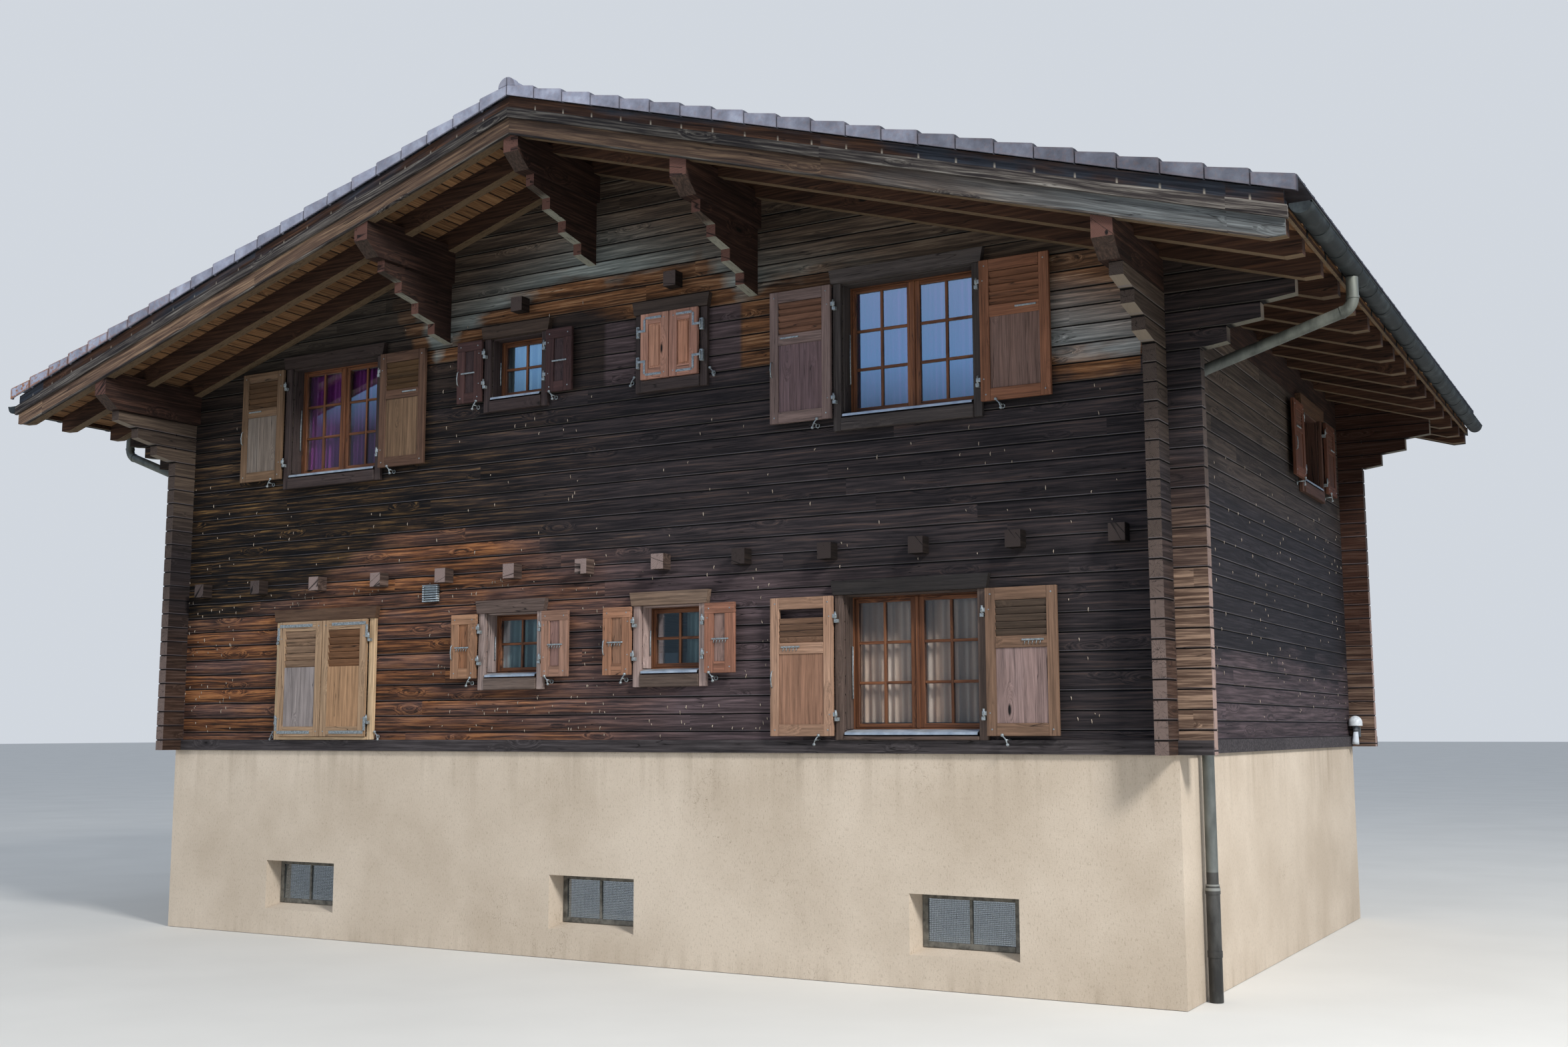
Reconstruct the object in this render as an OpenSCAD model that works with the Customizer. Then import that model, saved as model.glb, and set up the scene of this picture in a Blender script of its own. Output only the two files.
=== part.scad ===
// Alpine log chalet on a masonry plinth: halved log corners, stepped consoles under five purlins,
// a low pitched roof with wide eaves and verges, shuttered windows.
// Origin: middle of the house on the ground. +X to the right along the front, +Y to the back, +Z up.

/* [House] */
// Width between the outer faces of the side walls
house_w = 10800; // [10200:50:11400]
// Depth between the outer faces of the front and back walls
house_d = 6660; // [6300:20:7200]
// Thickness of a log
log_t = 105; // [90:1:120]
// Height of one log course of the front and back walls
course_h = 150; // [148:0.5:151]
// Height of the first front log above the plinth
first_log_h = 180; // [170:1:190]
// How far the logs run past a corner
log_over = 260; // [200:5:300]
// Depth and width of the groove at a log joint
groove = 9; // [4:1:14]
// Thickness of the inner lining of the log walls
lining_t = 90; // [60:5:100]
// Height of the log side walls above the plinth
log_wall_h = 3495; // [3460:5:3530]

/* [Plinth and floors] */
// Height of the masonry plinth
plinth_h = 1830; // [1790:5:1870]
// Thickness of the plinth walls
plinth_t = 380; // [300:10:450]
// Height and projection of the drip board on the plinth
drip_h = 108; // [90:1:120]
drip_out = 28; // [15:1:40]
// Depth of the living floor below the top of the plinth
ground_floor_drop = 840; // [800:5:860]
// Thickness of the masonry floors
floor_t = 200; // [150:5:200]
// Thickness of the cellar floor
cellar_floor_t = 80; // [60:5:120]

/* [Joists] */
// Width and height of a floor joist
joist_w = 130; // [100:5:150]
joist_h = 136; // [110:2:150]
// Underside of the floor joists above the plinth
joist_rise = 1602; // [1570:2:1620]
// How far the joist ends stand out of the wall
joist_out = 120; // [60:5:160]
// Thickness of the floor boards
floor_board_t = 32; // [20:1:40]
// Number of floor joists
joist_n = 13; // [9:1:15]
// Distance of the outer joists from the faces of the side walls
joist_in = 390; // [300:5:450]
// Underside of the two ceiling beams above the plinth, and their places
beam_rise = 4152; // [4120:2:4180]
beam_x_left = -800; // [-1000:10:-700]
beam_x_right = 945; // [850:5:1100]

/* [Roof] */
// Pitch of the roof in degrees
pitch = 16.8; // [15:0.1:18]
// Overhang of the verge boards beyond the front and back walls
verge_out = 1245; // [1150:5:1350]
// Overhang of the rafters beyond the side walls
eave_out = 1180; // [1080:5:1280]
// Width and height of a purlin
purlin_w = 160; // [140:5:190]
purlin_h = 340; // [300:5:360]
// Distance of the middle purlins from the ridge
mid_purlin_x = 1755; // [1650:5:1900]
// Width and upright height of a rafter
rafter_w = 100; // [80:5:120]
rafter_h = 135; // [120:5:150]
// Depth by which the rafters are notched over the purlins
rafter_notch = 60; // [30:5:80]
// Length and rise of the cut below a rafter's tail
tail_cut = 125; // [80:5:180]
tail_rise = 42; // [25:1:60]
// Distance of the first inner rafter from the face of the verge boards
rafter_in = 575; // [500:5:650]
// Gap between the gable wall and the rafter in front of it
rafter_clear = 5; // [3:1:12]
// Upright thickness of the roof boards, the counter battens and the battens
board_h = 25; // [20:1:32]
counter_h = 60; // [40:5:70]
batten_h = 58; // [40:2:70]
// Rise of a tile over the one below it and thickness of its thin end
tile_step = 32; // [20:1:45]
tile_h = 88; // [70:2:100]
// Number of tile courses on a slope
tile_n = 22; // [18:1:26]
// Radius of the ridge tiles
ridge_r = 92; // [80:2:110]

/* [Consoles] */
// Width of a console log under a purlin
console_w = 88; // [70:2:105]
// How much further a console log stands out than the one below it
console_step = 235; // [200:1:250]
// Rise of the slanted underside of a console log
console_cut = 45; // [30:1:60]
// Reach of the first and of the next log ends under the eaves, in the plane of the front wall
eave_step_first = 203; // [180:1:230]
eave_step = 255; // [220:1:270]
// Rise of their slanted underside
eave_cut = 30; // [20:1:60]
// How much further each side log stands out under the eave purlins
side_step = 246; // [210:1:260]

/* [Windows] */
// Width and height of a large window
big_w = 1200; // [1100:10:1300]
big_h = 1120; // [1040:10:1130]
// Distance of the large windows from the middle
big_x = 3235; // [3100:5:3350]
// Width and height of a small window
small_w = 620; // [560:5:680]
small_h = 570; // [520:5:620]
// Places of the small windows left and right of the middle
small_x_left = -860; // [-950:5:-800]
small_x_right = 915; // [850:5:1000]
// Bottom of the lower and of the upper large windows above the plinth
lower_sill_rise = 180; // [160:5:200]
upper_sill_rise = 2830; // [2810:5:2850]
// Width and height of a side window
side_win_w = 920; // [800:10:1000]
side_win_h = 720; // [600:10:740]
// Distance of its middle from the back wall's face, and its bottom above the plinth
side_win_in = 1610; // [1530:10:1830]
side_win_rise = 2690; // [2650:5:2710]
// Width and thickness of the casing posts
post_w = 75; // [60:5:90]
post_t = 40; // [30:1:50]
// Height of the head board and of the sill board
head_h = 118; // [100:2:124]
sill_h = 108; // [90:2:120]
// Depth of the window frame behind the log face, its thickness and its width
frame_back = 125; // [110:5:130]
frame_t = 60; // [50:2:64]
frame_w = 62; // [50:2:75]
// Width of the meeting stiles
stile_w = 120; // [100:5:140]
// Thickness of the panes
glass_t = 16; // [8:2:24]
// Thickness of a shutter and width of its rails
shutter_t = 34; // [26:1:40]
rail_w = 82; // [60:2:95]

/* [Cellar windows] */
// Width and height of a cellar window
cellar_w = 930; // [850:10:1000]
cellar_h = 475; // [420:5:500]
// Bottom of the cellar windows, and the distance between them
cellar_z = 255; // [220:5:260]
cellar_gap = 3585; // [3400:5:3700]
cellar_x = 70; // [0:5:150]
// How much narrower a cellar window is inside, on each side
cellar_splay = 110; // [60:5:140]

/* [Gutters] */
// Outer radius and sheet thickness of a gutter
gutter_r = 76; // [65:1:85]
sheet_t = 4; // [3:0.5:5]
// Diameter of a downpipe and of its standpipe
pipe_d = 90; // [80:1:100]
standpipe_d = 104; // [102:1:120]
// Height of the standpipe above the ground
standpipe_h = 860; // [700:10:1000]
// Distance of the right and of the left downpipe from the front wall's face
pipe_in_right = 500; // [420:10:620]
pipe_in_left = 250; // [245:5:420]
// Fall of the right and of the left swan neck in degrees
neck_fall_right = 17; // [12:0.5:20]
neck_fall_left = 20.5; // [14:0.5:22]
// Drop from the gutter's underside to the corner of the swan neck
neck_drop = 235; // [200:5:260]

/* [Vent and lamp] */
// Width, height and thickness of the vent grille
vent_w = 192; // [160:2:220]
vent_h = 168; // [140:2:190]
vent_t = 30; // [24:1:36]
// Place of the vent grille left of the middle
vent_x = 1872; // [1800:4:1950]
// Radius of the lamp's cap, its height above the plinth, and its distance outside the side wall
lamp_r = 72; // [60:1:80]
lamp_rise = 221; // [200:1:260]
lamp_out = 80; // [74:1:130]

/* [Hidden] */
$fn = 48;

hw = house_w / 2;
hd = house_d / 2;
slope = tan(pitch);
wall_t = log_t + lining_t;
far = 9000;                 // reach of a cutting shape past the whole house
seam = 0.5;                 // open joint between boards that are separate pieces

// Log joints: the side walls' courses lie half a course off the front's
wall_top = plinth_h + log_wall_h;
joist_z = plinth_h + joist_rise;
beam_z = plinth_h + beam_rise;
ground_floor_z = plinth_h - ground_floor_drop;
lower_sill_z = plinth_h + lower_sill_rise;
upper_sill_z = plinth_h + upper_sill_rise;
front_joint0 = plinth_h + first_log_h;
side_joint0 = front_joint0 - course_h / 2;
side_course_n = 23;
side_course_h = (wall_top - side_joint0) / side_course_n;
function front_joint(k) = front_joint0 + k * course_h;
function side_joint(k) = side_joint0 + k * side_course_h;
storey_joint = 10;          // joint between the lower and the upper front wall
gable_joint = 26;           // joint below the gable
lap = course_h / 4;         // a halved log keeps this much above and below a joint

// Roof planes as heights over the distance from the ridge
eave_purlin_x = hw - purlin_w / 2;
ridge_soffit = wall_top + eave_purlin_x * slope;
function purlin_under(x) = ridge_soffit - abs(x) * slope;
function rafter_under(x) = purlin_under(x) + purlin_h;
function board_under(x) = rafter_under(x) + rafter_h;
function board_over(x) = board_under(x) + board_h;
function tile_under(x) = board_over(x) + counter_h + batten_h;

verge_y = hd + verge_out;   // face of the verge boards
verge_t = 30;               // thickness of a verge board
purlin_end = verge_y - verge_t;
rafter_end = hw + eave_out;
fascia_t = 25;
fascia_x = rafter_end + fascia_t;
tile_end = rafter_end + 98; // lower edge of the last tile, over the gutter
tile_y = verge_y + 42;      // outer edge of the verge tiles

// Consoles: each log stands this much further out than the one below
console_n = 4;
eave_console_n = 3;
rafter_run = verge_y - rafter_in;
wall_rafter = hd + rafter_clear + rafter_w / 2;
rafter_n = 12; // rafters from the one in front of the wall to the one behind the back wall
rafter_ys = concat([-rafter_run, rafter_run],
    [for (i = [0 : rafter_n - 1]) (i / (rafter_n - 1) * 2 - 1) * wall_rafter]);

fascia_z = board_under(fascia_x) - 32; // lower edge of the fascia, above the tails
strap_t = 5;
gutter_x = fascia_x + strap_t + gutter_r;
gutter_z = rafter_under(rafter_end) + 178;
pipe_x = hw + drip_out + 3 + pipe_d / 2;

function joist_x(i) = (i - (joist_n - 1) / 2) * (house_w - 2 * joist_in) / (joist_n - 1);

// A window is [middle, bottom, width, height]
function big_windows(z) = [for (s = [-1, 1]) [s * big_x, z, big_w, big_h]];
function small_windows(z) = [for (x = [small_x_left, small_x_right])
    [x, z + big_h - small_h - 10, small_w, small_h]];
lower_windows = concat(big_windows(lower_sill_z), small_windows(lower_sill_z));
upper_windows = concat(big_windows(upper_sill_z), small_windows(upper_sill_z));
all_windows = concat(lower_windows, upper_windows);
// Closed at the front: the lower left large window and the upper right small one
function is_closed(w) = (w[0] == -big_x && w[1] < upper_sill_z) || (w[0] == small_x_right && w[1] > upper_sill_z);

module box(x0, x1, y0, y1, z0, z1) {
    translate([x0, y0, z0]) cube([x1 - x0, y1 - y0, z1 - z0]);
}

// Flat shape drawn in X and Z, made solid from y0 to y1
module upright_x(y0, y1) {
    translate([0, y1, 0]) rotate([90, 0, 0]) linear_extrude(y1 - y0) children();
}

// Flat shape drawn in Y and Z, made solid from x0 to x1
module upright_y(x0, x1) {
    translate([x0, 0, 0]) rotate([90, 0, 90]) linear_extrude(x1 - x0) children();
}

module to_back() {
    mirror([0, 1, 0]) children();
}

module to_left() {
    mirror([1, 0, 0]) children();
}

module window_holes(windows, grow = 0) {
    for (w = windows)
        translate([w[0] - w[2] / 2 - grow, w[1] - grow])
            square([w[2] + 2 * grow, w[3] + 2 * grow]);
}

// Everything below the underside of the roof boards
module under_roof() {
    polygon([[-far, 0], [far, 0], [far, board_under(far)], [0, board_under(0)],
        [-far, board_under(far)]]);
}

// Log ends stepping out under the eave, in the plane of the front wall
module eave_steps() {
    x0 = hw + log_over;
    k0 = storey_joint + 9;
    over = 3 * course_h;
    for (i = [0 : eave_console_n - 1]) {
        z = front_joint(k0 + i);
        root = i == 0 ? x0 : x0 + eave_step_first + (i - 1) * eave_step;
        tip = x0 + eave_step_first + i * eave_step;
        polygon([[x0 - 1, z], [root, z], [tip, z + eave_cut], [tip, z + over], [x0 - 1, z + over]]);
    }
}

// Crossing layers that the side wall's logs fill
module side_laps(z_top) {
    for (k = [0 : 22])
        if (front_joint(k) - lap < z_top)
            for (s = [-1, 1])
                translate([s * (hw - log_t / 2) - log_t / 2, front_joint(k) - lap])
                    square([log_t, min(2 * lap, z_top - front_joint(k) + lap)]);
}

// V grooves along the joints of the front wall, on its face and round its ends
module front_grooves(k0, k1) {
    for (k = [k0 : k1], s = [-1, 1]) {
        translate([0, -hd, front_joint(k)]) rotate([0, 90, 0])
            linear_extrude(2 * far, center = true)
                polygon([[-groove, -1], [-groove, 0], [0, groove], [groove, 0], [groove, -1]]);
        translate([s * (hw + log_over), 0, front_joint(k)]) rotate([90, 0, 0])
            linear_extrude(2 * hd + 2, center = true)
                polygon([[s * groove, -2 * groove], [-s * groove, 0], [s * groove, 2 * groove]]);
    }
}

// One storey of the front wall between two heights
module front_wall(z0, z1, k0, k1, windows) {
    difference() {
        union() {
            upright_x(-hd, -hd + log_t) difference() {
                intersection() {
                    union() {
                        translate([-hw - log_over, z0]) square([2 * (hw + log_over), z1 - z0]);
                        if (z1 > wall_top && z0 < wall_top)
                            for (m = [0, 1]) mirror([m, 0]) eave_steps();
                    }
                    translate([-far, z0]) square([2 * far, z1 - z0]);
                    under_roof();
                }
                window_holes(windows);
                side_laps(wall_top);
            }
            upright_x(-hd + log_t - 1, -hd + wall_t) difference() {
                intersection() {
                    translate([-hw + wall_t, z0]) square([2 * (hw - wall_t), z1 - z0]);
                    under_roof();
                }
                window_holes(windows);
            }
        }
        front_grooves(k0, k1);
        joist_pockets();
        beam_pockets();
        purlin_pockets();
    }
}

module joist_pockets() {
    for (i = [0 : joist_n - 1])
        box(joist_x(i) - joist_w / 2, joist_x(i) + joist_w / 2, -far, far, joist_z, joist_z + joist_h);
}

module beam_pockets() {
    for (x = [beam_x_left, beam_x_right])
        box(x - joist_w / 2, x + joist_w / 2, -far, far, beam_z, beam_z + joist_h);
}

module purlin_pockets() {
    for (x = [-eave_purlin_x, -mid_purlin_x, 0, mid_purlin_x, eave_purlin_x])
        box(x - purlin_w / 2, x + purlin_w / 2, -far, far, purlin_under(x), purlin_under(x) + far);
}

module front_wall_lower() {
    color("#4a3a30") front_wall(plinth_h, front_joint(storey_joint), 0, storey_joint - 1, lower_windows);
}

module front_wall_upper() {
    color("#54422f") front_wall(front_joint(storey_joint), front_joint(gable_joint),
        storey_joint, gable_joint - 1, upper_windows);
}

module front_gable() {
    color("#7d766c") front_wall(front_joint(gable_joint), board_under(0) + 1, gable_joint, gable_joint + 9, []);
}

// Side wall with its log heads, halved into the front and back walls
module side_outline() {
    difference() {
        union() {
            translate([-hd - log_over, plinth_h]) square([house_d + 2 * log_over, wall_top - plinth_h]);
            for (m = [0, 1], i = [0 : eave_console_n - 1]) mirror([m, 0]) {
                z = side_joint(side_course_n - eave_console_n + i);
                y0 = hd + log_over + i * side_step;
                tip = y0 + side_step;
                polygon([[hd, z], [y0, z], [tip, z + console_cut], [tip, wall_top], [hd, wall_top]]);
            }
        }
        for (m = [0, 1], k = [-1 : 21]) mirror([m, 0]) {
            z0 = k < 0 ? plinth_h : front_joint(k) + lap;
            z1 = min(front_joint(k + 1) - lap, wall_top);
            translate([hd - log_t, z0]) square([log_t, z1 - z0]);
        }
    }
}

module right_wall() {
    color("#5a4634") difference() {
        union() {
            upright_y(hw - log_t, hw) difference() {
                side_outline();
                side_hole();
            }
            upright_y(hw - wall_t, hw - log_t + 1) difference() {
                translate([-hd + log_t, plinth_h]) square([house_d - 2 * log_t, wall_top - plinth_h]);
                side_hole();
            }
        }
        for (k = [0 : side_course_n - 1], s = [-1, 1]) {
            translate([hw, 0, side_joint(k)]) rotate([90, 0, 0])
                linear_extrude(2 * far, center = true)
                    polygon([[1, -groove], [0, -groove], [-groove, 0], [0, groove], [1, groove]]);
            translate([hw, s * (hd + log_over), side_joint(k)]) rotate([90, 0, 90])
                linear_extrude(2 * log_t + 2, center = true)
                    polygon([[s * groove, -2 * groove], [-s * groove, 0], [s * groove, 2 * groove]]);
        }
    }
}

module left_wall() {
    to_left() right_wall();
}

module side_hole() {
    translate([side_window[0] - side_win_w / 2, side_window[1]]) square([side_win_w, side_win_h]);
}

// Masonry plinth: four walls, the front and back ones with splayed cellar windows
module cellar_hole(x) {
    mid = cellar_z + cellar_h / 2;
    intersection() {
        translate([x, 0, cellar_z - far / 2]) linear_extrude(far)
            polygon([[-cellar_w / 2, -hd - 1], [cellar_w / 2, -hd - 1],
                [cellar_w / 2 - cellar_splay, -hd + plinth_t + 1],
                [-cellar_w / 2 + cellar_splay, -hd + plinth_t + 1]]);
        upright_y(-far, far)
            polygon([[-hd - 1, cellar_z], [-hd + plinth_t + 1, cellar_z + cellar_splay],
                [-hd + plinth_t + 1, cellar_z + cellar_h], [-hd - 1, cellar_z + cellar_h]]);
    }
}

module plinth_front() {
    color("#cdb9a4") difference() {
        box(-hw, hw, -hd, -hd + plinth_t, 0, plinth_h);
        for (i = [-1 : 1]) cellar_hole(cellar_x + i * cellar_gap);
    }
}

module plinth_back() {
    color("#cdb9a4") to_back() plinth_front();
}

module plinth_right() {
    color("#cdb9a4") box(hw - plinth_t, hw, -hd + plinth_t, hd - plinth_t, 0, plinth_h);
}

module plinth_left() {
    to_left() plinth_right();
}

// Cellar window: steel frame round a close mesh, drawn as a thin sheet
module cellar_grilles() {
    bar = 24;
    rim = 45;
    y = -hd + 150;
    in = 150 * cellar_splay / plinth_t + 6;
    color("#8d8f8c") for (m = [0, 1], i = [-1 : 1]) mirror([0, m, 0])
        translate([cellar_x + i * cellar_gap, 0, 0]) {
            w = cellar_w / 2 - in;
            z0 = cellar_z + in;
            z1 = cellar_z + cellar_h;
            difference() {
                box(-w, w, y, y + bar, z0, z1);
                for (d = [-1, bar / 2 + 2])
                    box(-w + rim, w - rim, y + d, y + d + bar / 2 - 1, z0 + rim, z1 - rim);
            }
        }
}

module cellar_floor() {
    color("#a8a29a") box(-hw + plinth_t, hw - plinth_t, -hd + plinth_t, hd - plinth_t, 0, cellar_floor_t);
}

module ground_floor() {
    color("#a8a29a") box(-hw + plinth_t, hw - plinth_t, -hd + plinth_t, hd - plinth_t,
        ground_floor_z - floor_t, ground_floor_z);
}

module floor_joists() {
    color("#5b4a3c") for (i = [0 : joist_n - 1])
        box(joist_x(i) - joist_w / 2, joist_x(i) + joist_w / 2, -hd - joist_out, hd + joist_out,
            joist_z, joist_z + joist_h);
}

module upper_floor() {
    color("#9b7b56") box(-hw + wall_t, hw - wall_t, -hd + wall_t, hd - wall_t,
        joist_z + joist_h, joist_z + joist_h + floor_board_t);
}

module ceiling_beams() {
    color("#5b4a3c") for (x = [beam_x_left, beam_x_right])
        box(x - joist_w / 2, x + joist_w / 2, -hd - joist_out, hd + joist_out, beam_z, beam_z + joist_h);
}

// Drip boards round the foot of the log walls and round the log heads
module drip_boards() {
    color("#6d6a69") difference() {
        for (m = [0, 1]) {
            mirror([0, m, 0]) box(-hw - log_over, hw + log_over, -hd - drip_out, -hd - seam,
                plinth_h, plinth_h + drip_h);
            mirror([m, 0, 0]) box(hw + seam, hw + drip_out, -hd + log_t + seam, hd - log_t - seam,
                plinth_h, plinth_h + drip_h);
        }
        for (m = [0, 1], n = [0, 1]) mirror([0, m, 0]) mirror([n, 0, 0])
            box(hw - log_t - seam, hw + seam, -hd - far, -hd, 0, far);
    }
}

// Purlin with the head cut back below, under its sloping top
module purlin(x) {
    z = purlin_under(x);
    intersection() {
        upright_y(x - purlin_w / 2, x + purlin_w / 2)
            polygon([[-purlin_end + 160, z], [-purlin_end, z + 125], [-purlin_end, z + far],
                [purlin_end, z + far], [purlin_end, z + 125], [purlin_end - 160, z]]);
        upright_x(-far, far)
            polygon([[-far, 0], [far, 0], [far, rafter_under(far)], [0, rafter_under(0)],
                [-far, rafter_under(far)]]);
    }
}

// Stepped console of logs that carries the purlin's head in front of the wall
module console(x) {
    z = purlin_under(x);
    for (m = [0, 1]) mirror([0, m, 0])
        upright_y(x - console_w / 2, x + console_w / 2) for (i = [0 : console_n - 1]) {
            tip = -hd - (console_n - i) * console_step;
            low = z - (i + 1) * course_h;
            polygon([[-hd, low], [tip + console_step, low], [tip, low + console_cut],
                [tip, z], [-hd, z]]);
        }
}

module ridge_purlin() {
    color("#5f4b3f") {
        purlin(0);
        console(0);
    }
}

module mid_purlin_right() {
    color("#5f4b3f") {
        purlin(mid_purlin_x);
        console(mid_purlin_x);
    }
}

module mid_purlin_left() {
    to_left() mid_purlin_right();
}

module eave_purlin_right() {
    color("#5f4b3f") purlin(eave_purlin_x);
}

module eave_purlin_left() {
    to_left() eave_purlin_right();
}

// One rafter seen from the side: notched over the purlins, its tail cut away below
function seated(x) = [x, rafter_under(x)];
function hanging(x, up = 0) = [x, rafter_under(x) - rafter_notch + up];
module rafter_outline() {
    h = purlin_w / 2;
    polygon([seated(0), seated(h), hanging(h),
        hanging(mid_purlin_x - h), seated(mid_purlin_x - h), seated(mid_purlin_x + h), hanging(mid_purlin_x + h),
        hanging(eave_purlin_x - h), seated(eave_purlin_x - h), seated(eave_purlin_x + h), hanging(eave_purlin_x + h),
        hanging(rafter_end - tail_cut), hanging(rafter_end, tail_rise),
        [rafter_end, board_under(rafter_end)], [0, board_under(0)]]);
}

// Rafters of the right slope
module rafters_right() {
    ys = concat([-purlin_end + rafter_w / 2, purlin_end - rafter_w / 2], rafter_ys);
    color("#5d4b3d") for (y = ys) upright_x(y - rafter_w / 2, y + rafter_w / 2) rafter_outline();
}

module rafters_left() {
    to_left() rafters_right();
}

module roof_boards() {
    color("#8a6a4a") for (m = [0, 1]) mirror([m, 0, 0]) upright_x(-purlin_end, purlin_end)
        polygon([[seam, board_under(0)], [fascia_x, board_under(fascia_x)],
            [fascia_x, board_over(fascia_x)], [seam, board_over(0)]]);
}

// Counter battens up the slope and tile battens along it, fused where they cross
module battens() {
    for (m = [0, 1]) mirror([m, 0, 0]) slope_battens();
}

module slope_battens() {
    counter_n = 16;
    course = tile_end / tile_n;
    notch = 6;
    color("#6a5a4b") {
        for (i = [0 : counter_n - 1]) {
            y = -purlin_end + 30 + i * (2 * purlin_end - 60) / (counter_n - 1);
            upright_x(y - 30, y + 30)
                polygon([[seam, board_over(0)], [rafter_end, board_over(rafter_end)],
                    [rafter_end, board_over(rafter_end) + counter_h], [seam, board_over(0) + counter_h]]);
        }
        upright_x(-purlin_end, purlin_end) for (i = [0 : tile_n - 1]) {
            x = i * course + 60;
            polygon([[x, tile_under(x) - batten_h - notch], [x + 50, tile_under(x + 50) - batten_h - notch],
                [x + 50, tile_under(x + 50)], [x, tile_under(x)]]);
        }
    }
}

// Tile courses of a slope, each lapping over the one below
module tiles_right() {
    course = tile_end / tile_n;
    color("#77746f") upright_x(-tile_y, tile_y)
        polygon(concat([[tile_end, tile_under(tile_end)], [0, tile_under(0)]],
            [for (i = [0 : tile_n - 1], e = [0, 1])
                let (x = (i + e) * course) [x, tile_under(x) + tile_h + e * tile_step]]));
}

module tiles_left() {
    to_left() tiles_right();
}

// Ridge tiles with a collar each, bedded in mortar on the tile courses
module ridge_tiles() {
    n = 23;
    course = tile_end / tile_n;
    len = 2 * tile_y / n;
    z = tile_under(0) + tile_h - 20;
    color("#7d7873") difference() {
        for (i = [0 : n - 1]) translate([0, -tile_y + i * len, z]) rotate([-90, 0, 0]) {
            cylinder(r = ridge_r - 8, h = i < n - 1 ? len + 1 : len);
            cylinder(r = ridge_r, h = len / 6);
        }
        upright_x(-tile_y - 1, tile_y + 1)
            polygon([[-course, 0], [course, 0], [course, tile_under(course) + tile_h + tile_step + seam],
                [0, tile_under(0) + tile_h + seam], [-course, tile_under(course) + tile_h + tile_step + seam]]);
    }
}

// Verge boards: a board from below the rafters up to the tiles, and a strip in front of it
module verge_boards() {
    low = -rafter_notch - 6;
    color("#8b8680") for (m = [0, 1], n = [0, 1]) mirror([m, 0, 0]) mirror([0, n, 0]) {
        upright_x(-verge_y, -verge_y + verge_t)
            polygon([[seam, rafter_under(0) + low],
                [rafter_end - tail_cut, rafter_under(rafter_end - tail_cut) + low],
                [rafter_end, rafter_under(rafter_end) + low + tail_rise],
                [rafter_end, tile_under(rafter_end) - seam], [seam, tile_under(0) - seam]]);
        upright_x(-verge_y - verge_t, -verge_y + 1)
            polygon([[seam, board_over(0) - 78], [fascia_x, board_over(fascia_x) - 78],
                [fascia_x, board_over(fascia_x) + 12], [seam, board_over(0) + 12]]);
    }
}

module fascia_boards() {
    color("#75644f") for (m = [0, 1]) mirror([m, 0, 0])
        box(rafter_end, fascia_x, -purlin_end, purlin_end, fascia_z, board_under(fascia_x) - seam);
}

// Half round gutter with end caps and straps that hang it on the fascia
module gutter_right() {
    color("#7f8a84") translate([gutter_x, 0, gutter_z]) {
        difference() {
            union() {
                rotate([90, 0, 0]) cylinder(r = gutter_r, h = 2 * verge_y, center = true);
                for (y = rafter_ys)
                    translate([0, y, 0]) {
                        rotate([90, 0, 0]) cylinder(r = gutter_r + strap_t, h = 28, center = true);
                        box(-gutter_r - strap_t, -gutter_r + 1, -14, 14,
                            fascia_z - gutter_z, 0);
                    }
            }
            rotate([90, 0, 0]) cylinder(r = gutter_r - sheet_t, h = 2 * (verge_y - sheet_t), center = true);
            box(-far, far, -far, far, 0, far);
        }
    }
}

module gutter_left() {
    to_left() gutter_right();
}

// Pipe bend in X and Z: starts at the origin going down, turns towards -X by an angle
module pipe_bend(angle, r) {
    translate([-r, 0, 0]) rotate([90, 0, 0]) rotate([0, 0, 1 - angle])
        rotate_extrude(angle = angle - 2) translate([r, 0]) circle(d = pipe_d);
}

// Socket ring over the joint of a bend with a straight length
module socket_ring(x, z, lean) {
    translate([x, 0, z]) rotate([0, lean, 0]) cylinder(d = pipe_d + 8, h = 20, center = true);
}

// Swan neck from the gutter to the wall, downpipe with brackets, standpipe
module downpipe_right(y = pipe_in_right - hd, fall = neck_fall_right) {
    turn = 90 - fall;
    bend_r = 110;
    cut = bend_r * tan(turn / 2);
    run = gutter_x - pipe_x;
    top = gutter_z - gutter_r - strap_t - seam;
    high_z = top - neck_drop;
    low_z = high_z - run * tan(fall);
    bracket_step = (low_z - cut - standpipe_h) / 4;
    color("#76817c") translate([0, y, 0]) {
        cylinder_at(gutter_x, pipe_d, high_z + cut + 2, top);
        socket_ring(gutter_x, high_z + cut, 0);
        translate([gutter_x, 0, high_z + cut]) pipe_bend(turn, bend_r);
        socket_ring(gutter_x - cut * cos(fall), high_z - cut * sin(fall), -90 - fall);
        translate([gutter_x - (cut + 2) * cos(fall), 0, high_z - (cut + 2) * sin(fall)])
            rotate([0, -90 - fall, 0]) cylinder(d = pipe_d, h = run / cos(fall) - 2 * cut - 4);
        socket_ring(pipe_x + cut * cos(fall), low_z + cut * sin(fall), -90 - fall);
        translate([pipe_x, 0, low_z - cut]) rotate([0, 180, 0]) pipe_bend(turn, bend_r);
        socket_ring(pipe_x, low_z - cut, 0);
        cylinder_at(pipe_x, pipe_d, standpipe_h - 60, low_z - cut - 2);
        cylinder_at(pipe_x, standpipe_d, 0, standpipe_h);
        for (z = [standpipe_h - 70, standpipe_h * 0.38]) cylinder_at(pipe_x, standpipe_d + 8, z, z + 46);
        for (i = [1 : 3]) {
            z = standpipe_h + (i + 0.35) * bracket_step;
            cylinder_at(pipe_x, pipe_d + 8, z, z + 30);
            translate([hw + seam, -10, z + 5]) cube([pipe_x - hw, 20, 20]);
        }
    }
}

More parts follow.
